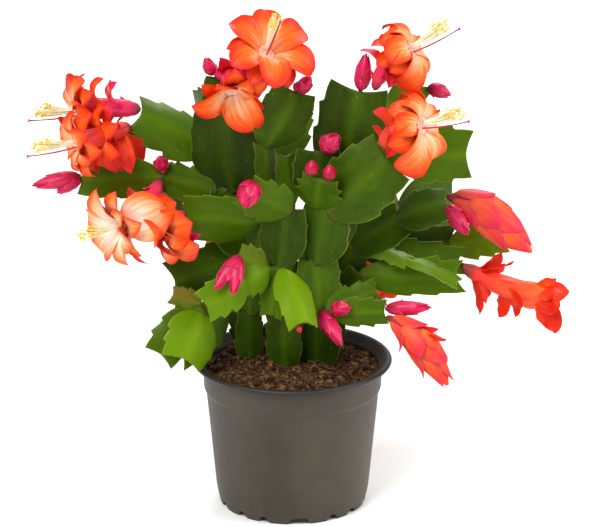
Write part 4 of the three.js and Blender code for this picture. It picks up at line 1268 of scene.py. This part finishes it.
threadPlan = {
    "filaments": 58,
    "length": (15, 26),
    "radius": 0.26,
    "fork": (0.6, 1.4),          # how far past the mouth and above its middle the bunch begins
    "spread": (1.3, 2.3),        # at its root and how much more at its tips
    "lean": (3.0, 5.0),
    "anther": (1.05, 0.5),       # half length and radius
    "styleLength": {"bloom_1": 26, "bloom_7": 31},
    "usualStyle": 30,
    "style": [(0, 0.6), (0.5, 0.48), (0.94, 0.42), (1, 0.5)],
    "lobes": 6,
    "lobe": [0.32, 0.4, 0.42, 0.38, 0.27, 0.08],
}


def stamensOf(bloom):
    skin = Skin("along")
    dice = random.Random("stamens " + bloom.name)
    centre, along, up, side = bloom.frame(1)
    ahead, above = threadPlan["fork"]
    fork = centre + along * ahead + up * above
    narrow, wider = threadPlan["spread"]
    for k in range(threadPlan["filaments"]):
        angle = dice.uniform(0, 360)
        reach = math.sqrt(dice.uniform(0, 1))
        aside = bloom.outward(up, side, angle)
        length = dice.uniform(*threadPlan["length"])
        t = np.linspace(0, 1, 8)[:, None]
        lean = dice.uniform(*threadPlan["lean"])
        centres = fork + along * length * t + aside * reach * (narrow + wider * t ** 2) + up * lean * t ** 2
        radii = threadPlan["radius"] * np.linspace(1, 0.75, 8)
        skin.loft(turned(centres, [up] * 8, [side] * 8, radii, 5), along=t * 0.7)
        tip = centres[-1]
        way = along + aside * dice.uniform(-0.3, 0.9) + up * dice.uniform(-0.2, 0.6)
        way = way / np.linalg.norm(way)
        lift = squareTo(way, side)
        longways, radius = threadPlan["anther"]
        steps = np.linspace(-0.95, 0.95, 6)
        centres = tip + way * (steps * longways)[:, None]
        radii = radius * np.sqrt(1 - steps ** 2)
        skin.loft(turned(centres, [lift] * 6, [np.cross(way, lift)] * 6, radii, 6),
                  along=dice.uniform(0.84, 1.0))
    return skin


def styleOf(bloom):
    skin = Skin("along")
    centre, along, up, side = bloom.frame(1)
    root = centre + along * 0.3 - up * 2
    length = threadPlan["styleLength"].get(bloom.name, threadPlan["usualStyle"])
    t = np.linspace(0, 1, 14)[:, None]
    centres = root + along * length * t + up * 3 * t ** 2
    skin.loft(turned(centres, [up] * 14, [side] * 14, smooth(threadPlan["style"], t[:, 0]), 7), along=t * 0.9)
    tip = centres[-1] - along * 0.3
    for k in range(threadPlan["lobes"]):
        aside = bloom.outward(up, side, k * 360 / threadPlan["lobes"])
        steps = np.linspace(0, 1, 6)[:, None]
        line = tip + along * 1.5 * steps + aside * (0.25 + 0.75 * steps ** 1.5)
        skin.loft(turned(line, [aside] * 6, [np.cross(along, aside)] * 6, threadPlan["lobe"], 5), along=0.97)
    return skin


stamenMaterial, styleMaterial = makeThreadMaterial("stamen"), makeThreadMaterial("style")
for number, bloom in enumerate(blooms, 1):
    if number in bloomPlan["stamens"]:
        stamensOf(bloom).piece(f"stamens{number}", stamenMaterial, "stamen", f"stamens_{number}")
    if number in bloomPlan["styles"]:
        styleOf(bloom).piece(f"style{number}", styleMaterial, "style", f"style_{number}")
print("stamens and styles are set")


# Buds

budPlan = {
    "profile": [(0, 0.3), (0.1, 0.62), (0.25, 0.92), (0.4, 1.0), (0.58, 0.93), (0.75, 0.7), (0.9, 0.34),
                (1, 0.05)],
    "layers": [(0.3, 0.96, 3, 66), (0.12, 0.7, 3, 58), (0.02, 0.4, 3, 52)],    # from, to, count, half angle
    "core": 0.93,
    "rings": 18,
    "sides": 18,
    "bead": (9, 0.85),           # shorter than this, or rounder, a bud shows no scales
    "dusk": (0.8, 7),
}

# Each row: name, the segment that carries it, its place across that one's tip, lean, out, length, width.
# Buds that share a name grow side by side.
budRows = [
    ("bud_1", "l5", -0.8, -20, 5, 12, 7),
    ("bud_2", "m5", 0.3, 30, 20, 13, 8),
    ("bud_2", "m5", 0.25, -25, 15, 7, 5),
    ("bud_3", "l9", 0.1, -100, 5, 30, 9),
    ("bud_3", "l9", 0.1, -124, 10, 18, 7),
    ("bud_4", "l8", 0.7, 10, 50, 11, 8),
    ("bud_5", "m6", 0.8, -160, 40, 18, 13),
    ("bud_6", "t6", -0.6, 0, 10, 10, 9),
    ("bud_7", "t6", 0.6, 5, 10, 10, 9),
    ("bud_8", "t5", 0.2, 45, 10, 15, 11),
    ("bud_9", "t8", 0.1, 8, 5, 24, 9),
    ("bud_10", "t10", 0.8, 110, 5, 15, 8),
    ("bud_11", "r4", 0.1, 140, 30, 23, 10),
    ("bud_12", "m11", 0, -140, 32, 26, 8),
    ("bud_12", "m11", 0, -170, 38, 25, 8),
    ("bud_13", "t1", 0.2, 140, 45, 28, 9),
    ("bud_14", "t1", 1, 76, 35, 14, 8),
    ("bud_15", "t12", -0.3, 85, 8, 28, 8),
    ("bud_16", "m10", -1, -160, 60, 4, 4),
    ("bud_17", "m8", 0.5, 160, 60, 5, 4),
    ("bud_18", "p5", 0, -40, -50, 22, 9),
    ("bud_19", "q7", 0, 130, -50, 24, 9),
]


def budBody(skin, row, name, carrier, place, lean, out, length, width):
    dice = random.Random(f"{name} {row}")
    base = segments[carrier].seat(place, -stemPlan["clearance"])
    along = heading(lean, out)
    up = squareTo(along, upwards)
    side = np.cross(along, up)

    def axis(reach):
        return base + along * reach, along, up, side

    table = [(share * length, radius * width / 2) for share, radius in budPlan["profile"]]
    count = budPlan["rings"]
    reaches = np.linspace(0, length, count)
    rings = turned([base + along * reach for reach in reaches], [up] * count, [side] * count,
                   smooth(table, reaches) * budPlan["core"], budPlan["sides"])
    share = np.linspace(0, 1, count)[:, None]
    shortest, roundest = budPlan["bead"]
    dark, fading = budPlan["dusk"]
    dusk = np.clip(dark - share * fading, 0, 1) if length > shortest else 0.0
    skin.loft(rings, along=share, across=0.5, warm=0.14 + 0.3 * share, dusk=dusk, tint=dice.random())
    if length < shortest or width > roundest * length:
        return
    turn = dice.uniform(0, 360)
    for layer, (first, last, count, span) in enumerate(budPlan["layers"]):
        for k in range(count):
            wrap(skin, axis, table, first * length, last * length, turn + k * 360 / count + layer * 60, span,
                 0.12 + 0.22 * layer, dice, warm=(0.14 + 0.1 * (2 - layer), 0.72))


for name in dict.fromkeys(row[0] for row in budRows):
    bud = Skin("along", "across", "warm", "dusk", "tint")
    for number, row in enumerate(budRows):
        if row[0] == name:
            budBody(bud, number, *row)
    bud.piece(name.replace("_", ""), budMaterial, "bud", name)
print("buds are set")


# Pot

potPlan = {
    "columns": 360,
    "notchHeight": 3.7,
    "wideNotch": 12,
    "narrowNotch": 6,
    "notchSteps": [0, 28, 48, 72, 92],   # degrees round each third of the foot
    "firstNotch": -85,
    "footRadius": 44,
    "soft": (1.2, 3.2),                  # where a notch's slope begins outside it, and how wide it is
    "floorRadius": 41,                   # within this the corners are the pot's floor
    "outerFoot": 43,
    "liftedBelow": 3.9,
    "taper": 2 / 9,
    "drain": {"count": 6, "radius": 3.5, "ring": 32, "heights": (2, 8), "sides": 32},
}
# The wall's corners as radius, height and the radius of their rounding, from under the floor to the lip
# and down the inside.
potCorners = [
    (22, 4, 0), (41.6, 4, 1), (42.2, 0, 0.5), (44, 0, 0.6), (46, 9, 3), (52, 71, 1.2), (53.3, 73, 1.2),
    (54, 87, 0.5), (58.6, 87.6, 1.0), (60, 89.4, 1.1), (58.9, 91, 0.8), (56.5, 90.9, 0.8), (52, 86, 1.5),
    (50.4, 71, 2), (44, 5.6, 2.5), (20, 5.6, 0),
]


def roundedLine(corners, steps=4):
    line = []
    for k, (x, y, radius) in enumerate(corners):
        here = Vector((x, y))
        if radius == 0 or k in (0, len(corners) - 1):
            line.append(here)
            continue
        before = Vector(corners[k - 1][:2]) - here
        after = Vector(corners[k + 1][:2]) - here
        cut = min(radius, 0.45 * before.length, 0.45 * after.length)
        start, end = here + before.normalized() * cut, here + after.normalized() * cut
        for t in np.linspace(0, 1, steps + 1):
            line.append(start * (1 - t) ** 2 + here * 2 * t * (1 - t) + end * t * t)
    return line


def notchLift(degrees):
    lift = 0.0
    before, slope = potPlan["soft"]
    for third in (0, 120, 240):
        for k, step in enumerate(potPlan["notchSteps"]):
            half = (potPlan["wideNotch"] if k == 0 else potPlan["narrowNotch"]) / 2
            away = (degrees - potPlan["firstNotch"] - third - step + 180) % 360 - 180
            inside = half - abs(math.radians(away)) * potPlan["footRadius"]
            share = min(max((inside + before) / slope, 0.0), 1.0)
            lift = max(lift, potPlan["notchHeight"] * share * share * (3 - 2 * share))
    return lift


def makePot():
    count, below = potPlan["columns"], potPlan["liftedBelow"]
    turns = np.radians(np.arange(count) * 360 / count)
    lifts = np.array([notchLift(k * 360 / count) for k in range(count)])
    rings = []
    for radius, height in roundedLine(potCorners):
        z = np.full(count, float(height))
        if radius > potPlan["floorRadius"]:
            z = np.where(z < below, lifts + z * (1 - lifts / below), z)
        r = np.full(count, float(radius))
        if height < 1 and radius > potPlan["outerFoot"]:
            r = r + (z - height) * potPlan["taper"]
        rings.append(np.stack([r * np.cos(turns), r * np.sin(turns), z], axis=1))
    skin = Skin()
    skin.loft(np.array(rings))
    return skin.piece("potShell", makePotMaterial(), "pot", "pot")


def drainHoles():
    plan = potPlan["drain"]
    holes = Skin()
    up, side = np.array([1.0, 0, 0]), np.array([0, 1.0, 0])
    for k in range(plan["count"]):
        turn = 2 * math.pi * k / plan["count"]
        x, y = plan["ring"] * math.cos(turn), plan["ring"] * math.sin(turn)
        ends = [(x, y, height) for height in plan["heights"]]
        holes.loft(turned(ends, [up] * 2, [side] * 2, [plan["radius"]] * 2, plan["sides"]))
    return holes


def drillPot(pot, holes):
    tool = bpy.data.objects.new("drill", holes.mesh("drill"))
    bpy.context.scene.collection.objects.link(tool)
    cut = pot.modifiers.new("drain", "BOOLEAN")
    cut.operation = "DIFFERENCE"
    cut.solver = "EXACT"
    cut.object = tool
    bpy.context.view_layer.update()
    finished = bpy.data.meshes.new_from_object(pot.evaluated_get(bpy.context.evaluated_depsgraph_get()))
    pot.modifiers.clear()
    pot.data = finished
    bpy.data.objects.remove(tool)


drillPot(makePot(), drainHoles())
print("pot is turned")


# Soil

soilPlan = {
    "edgeHeight": 84.0,                  # at the pot's wall
    "middleHeight": 88.0,
    "wallGap": 0.35,
    "skirt": 6,
    "rings": 70,
    "columns": 200,
    "relief": 1.9,
    "crumbs": 1300,
    "crumbSize": (0.5, 2.4),
    "fibres": 700,
    "fibreLength": (3, 11),
    "fibreShape": (0.4, 1, 1, 1, 1, 1, 0.8, 0.3),
}
innerWall = [(44, 5.6), (50.4, 71), (52, 86), (56.5, potHeight)]
soilEdge = float(np.interp(soilPlan["edgeHeight"], [z for _, z in innerWall], [r for r, _ in innerWall]))
soilEdge = soilEdge - soilPlan["wallGap"]


def soilTop(r, turn):
    share = min(r / soilEdge, 1.0)
    lumps = 1.1 * math.sin(3 * turn + r / 6) + 0.9 * math.sin(5 * turn - r / 4) + 0.7 * math.cos(r / 3)
    low, high = soilPlan["edgeHeight"], soilPlan["middleHeight"]
    mound = low + (high - low) * (1 - share * share)
    return mound + lumps * math.sqrt(1 - share * share)


def soilHeight(x, y):
    r = math.hypot(x, y)
    rough = noise.fractal(Vector((x, y, 3.0)) / 5, 0.9, 2.1, 4)
    cells = noise.noise(Vector((x, y, 9.0)) / 1.7)
    fade = min(1.0, (soilEdge - r) / 4 + 0.15)
    return soilTop(r, math.atan2(y, x)) + soilPlan["relief"] * (rough + 0.45 * cells) * max(fade, 0.0)


def makePeatBed(material):
    skin = Skin("tint")
    turns = np.radians(np.arange(soilPlan["columns"]) * 360 / soilPlan["columns"])
    foot = soilPlan["edgeHeight"] - soilPlan["skirt"]
    rings = [[(soilEdge * np.cos(t), soilEdge * np.sin(t), foot) for t in turns]]
    for r in np.linspace(soilEdge, 1.5, soilPlan["rings"]):
        spots = [(r * math.cos(t), r * math.sin(t)) for t in turns]
        rings.append([(x, y, soilHeight(x, y)) for x, y in spots])
    skin.loft(np.array(rings), tint=0.0)
    skin.piece("peatBed", material, "peat", "soil")


def addCrumbs(skin, dice):
    ball = bmesh.new()
    bmesh.ops.create_icosphere(ball, subdivisions=2, radius=1)
    shape = np.array([v.co[:] for v in ball.verts])
    faces = [tuple(v.index for v in face.verts) for face in ball.faces]
    ball.free()
    smallest, largest = soilPlan["crumbSize"]
    for _ in range(soilPlan["crumbs"]):
        r = (soilEdge - 1.5) * math.sqrt(dice.random())
        turn = dice.uniform(0, 2 * math.pi)
        size = smallest + dice.uniform(0, 1) ** 2 * (largest - smallest)
        x, y = r * math.cos(turn), r * math.sin(turn)
        stretch = np.array([dice.uniform(0.7, 1.4), dice.uniform(0.7, 1.4), dice.uniform(0.5, 0.9)]) * size
        seed = Vector((dice.uniform(0, 50), dice.uniform(0, 50), 0))
        bumps = np.array([1 + 0.55 * noise.noise(Vector(p) * 1.5 + seed) for p in shape])
        points = shape * bumps[:, None] * stretch + (x, y, soilHeight(x, y) + 0.25 * size)
        skin.add(points, faces, tint=dice.uniform(-0.3, 0.25))


def addFibres(skin, dice):
    upright = np.array([0, 0, 1.0])
    steps = len(soilPlan["fibreShape"])
    for _ in range(soilPlan["fibres"]):
        r = (soilEdge - 5) * math.sqrt(dice.random())
        turn = dice.uniform(0, 2 * math.pi)
        way = dice.uniform(0, 2 * math.pi)
        length = dice.uniform(*soilPlan["fibreLength"])
        bend = dice.uniform(-1.5, 1.5)
        x, y = r * math.cos(turn), r * math.sin(turn)
        centres = []
        for t in np.linspace(0, 1, steps):
            x += length / steps * math.cos(way + bend * t)
            y += length / steps * math.sin(way + bend * t)
            if math.hypot(x, y) > soilEdge - 1:
                x, y = x * 0.96, y * 0.96
            centres.append((x, y, soilHeight(x, y) + 0.5 + 1.2 * math.sin(math.pi * t)))
        radii = dice.uniform(0.13, 0.3) * np.array(soilPlan["fibreShape"])
        side = np.array([-math.sin(way), math.cos(way), 0])
        skin.loft(turned(centres, [upright] * steps, [side] * steps, radii, 4), tint=dice.uniform(0.0, 0.45))


peatMaterial = makePeatMaterial()
makePeatBed(peatMaterial)
crumbs = Skin("tint")
crumbDice = random.Random("crumbs")
addCrumbs(crumbs, crumbDice)
addFibres(crumbs, crumbDice)
crumbs.piece("peatCrumbs", peatMaterial, "peat")
print("soil is filled")


# Stage

def makeFloor():
    half = stage["floorSize"] / 2
    material, _, _ = newMaterial("paleFloor", {"Base Color": colour(stage["floorColour"]), "Roughness": 0.7,
                                               "Specular IOR Level": 0.1})
    mesh = bpy.data.meshes.new("floor")
    corners = [(-half, -half, 0), (half, -half, 0), (half, half, 0), (-half, half, 0)]
    mesh.from_pydata([Vector(c) * mm for c in corners], [], [(0, 1, 2, 3)])
    mesh.materials.append(material)
    floor = bpy.data.objects.new("floor", mesh)
    bpy.context.scene.collection.objects.link(floor)


makeFloor()
makeCamera()
makeLamps()
print("stage is set")
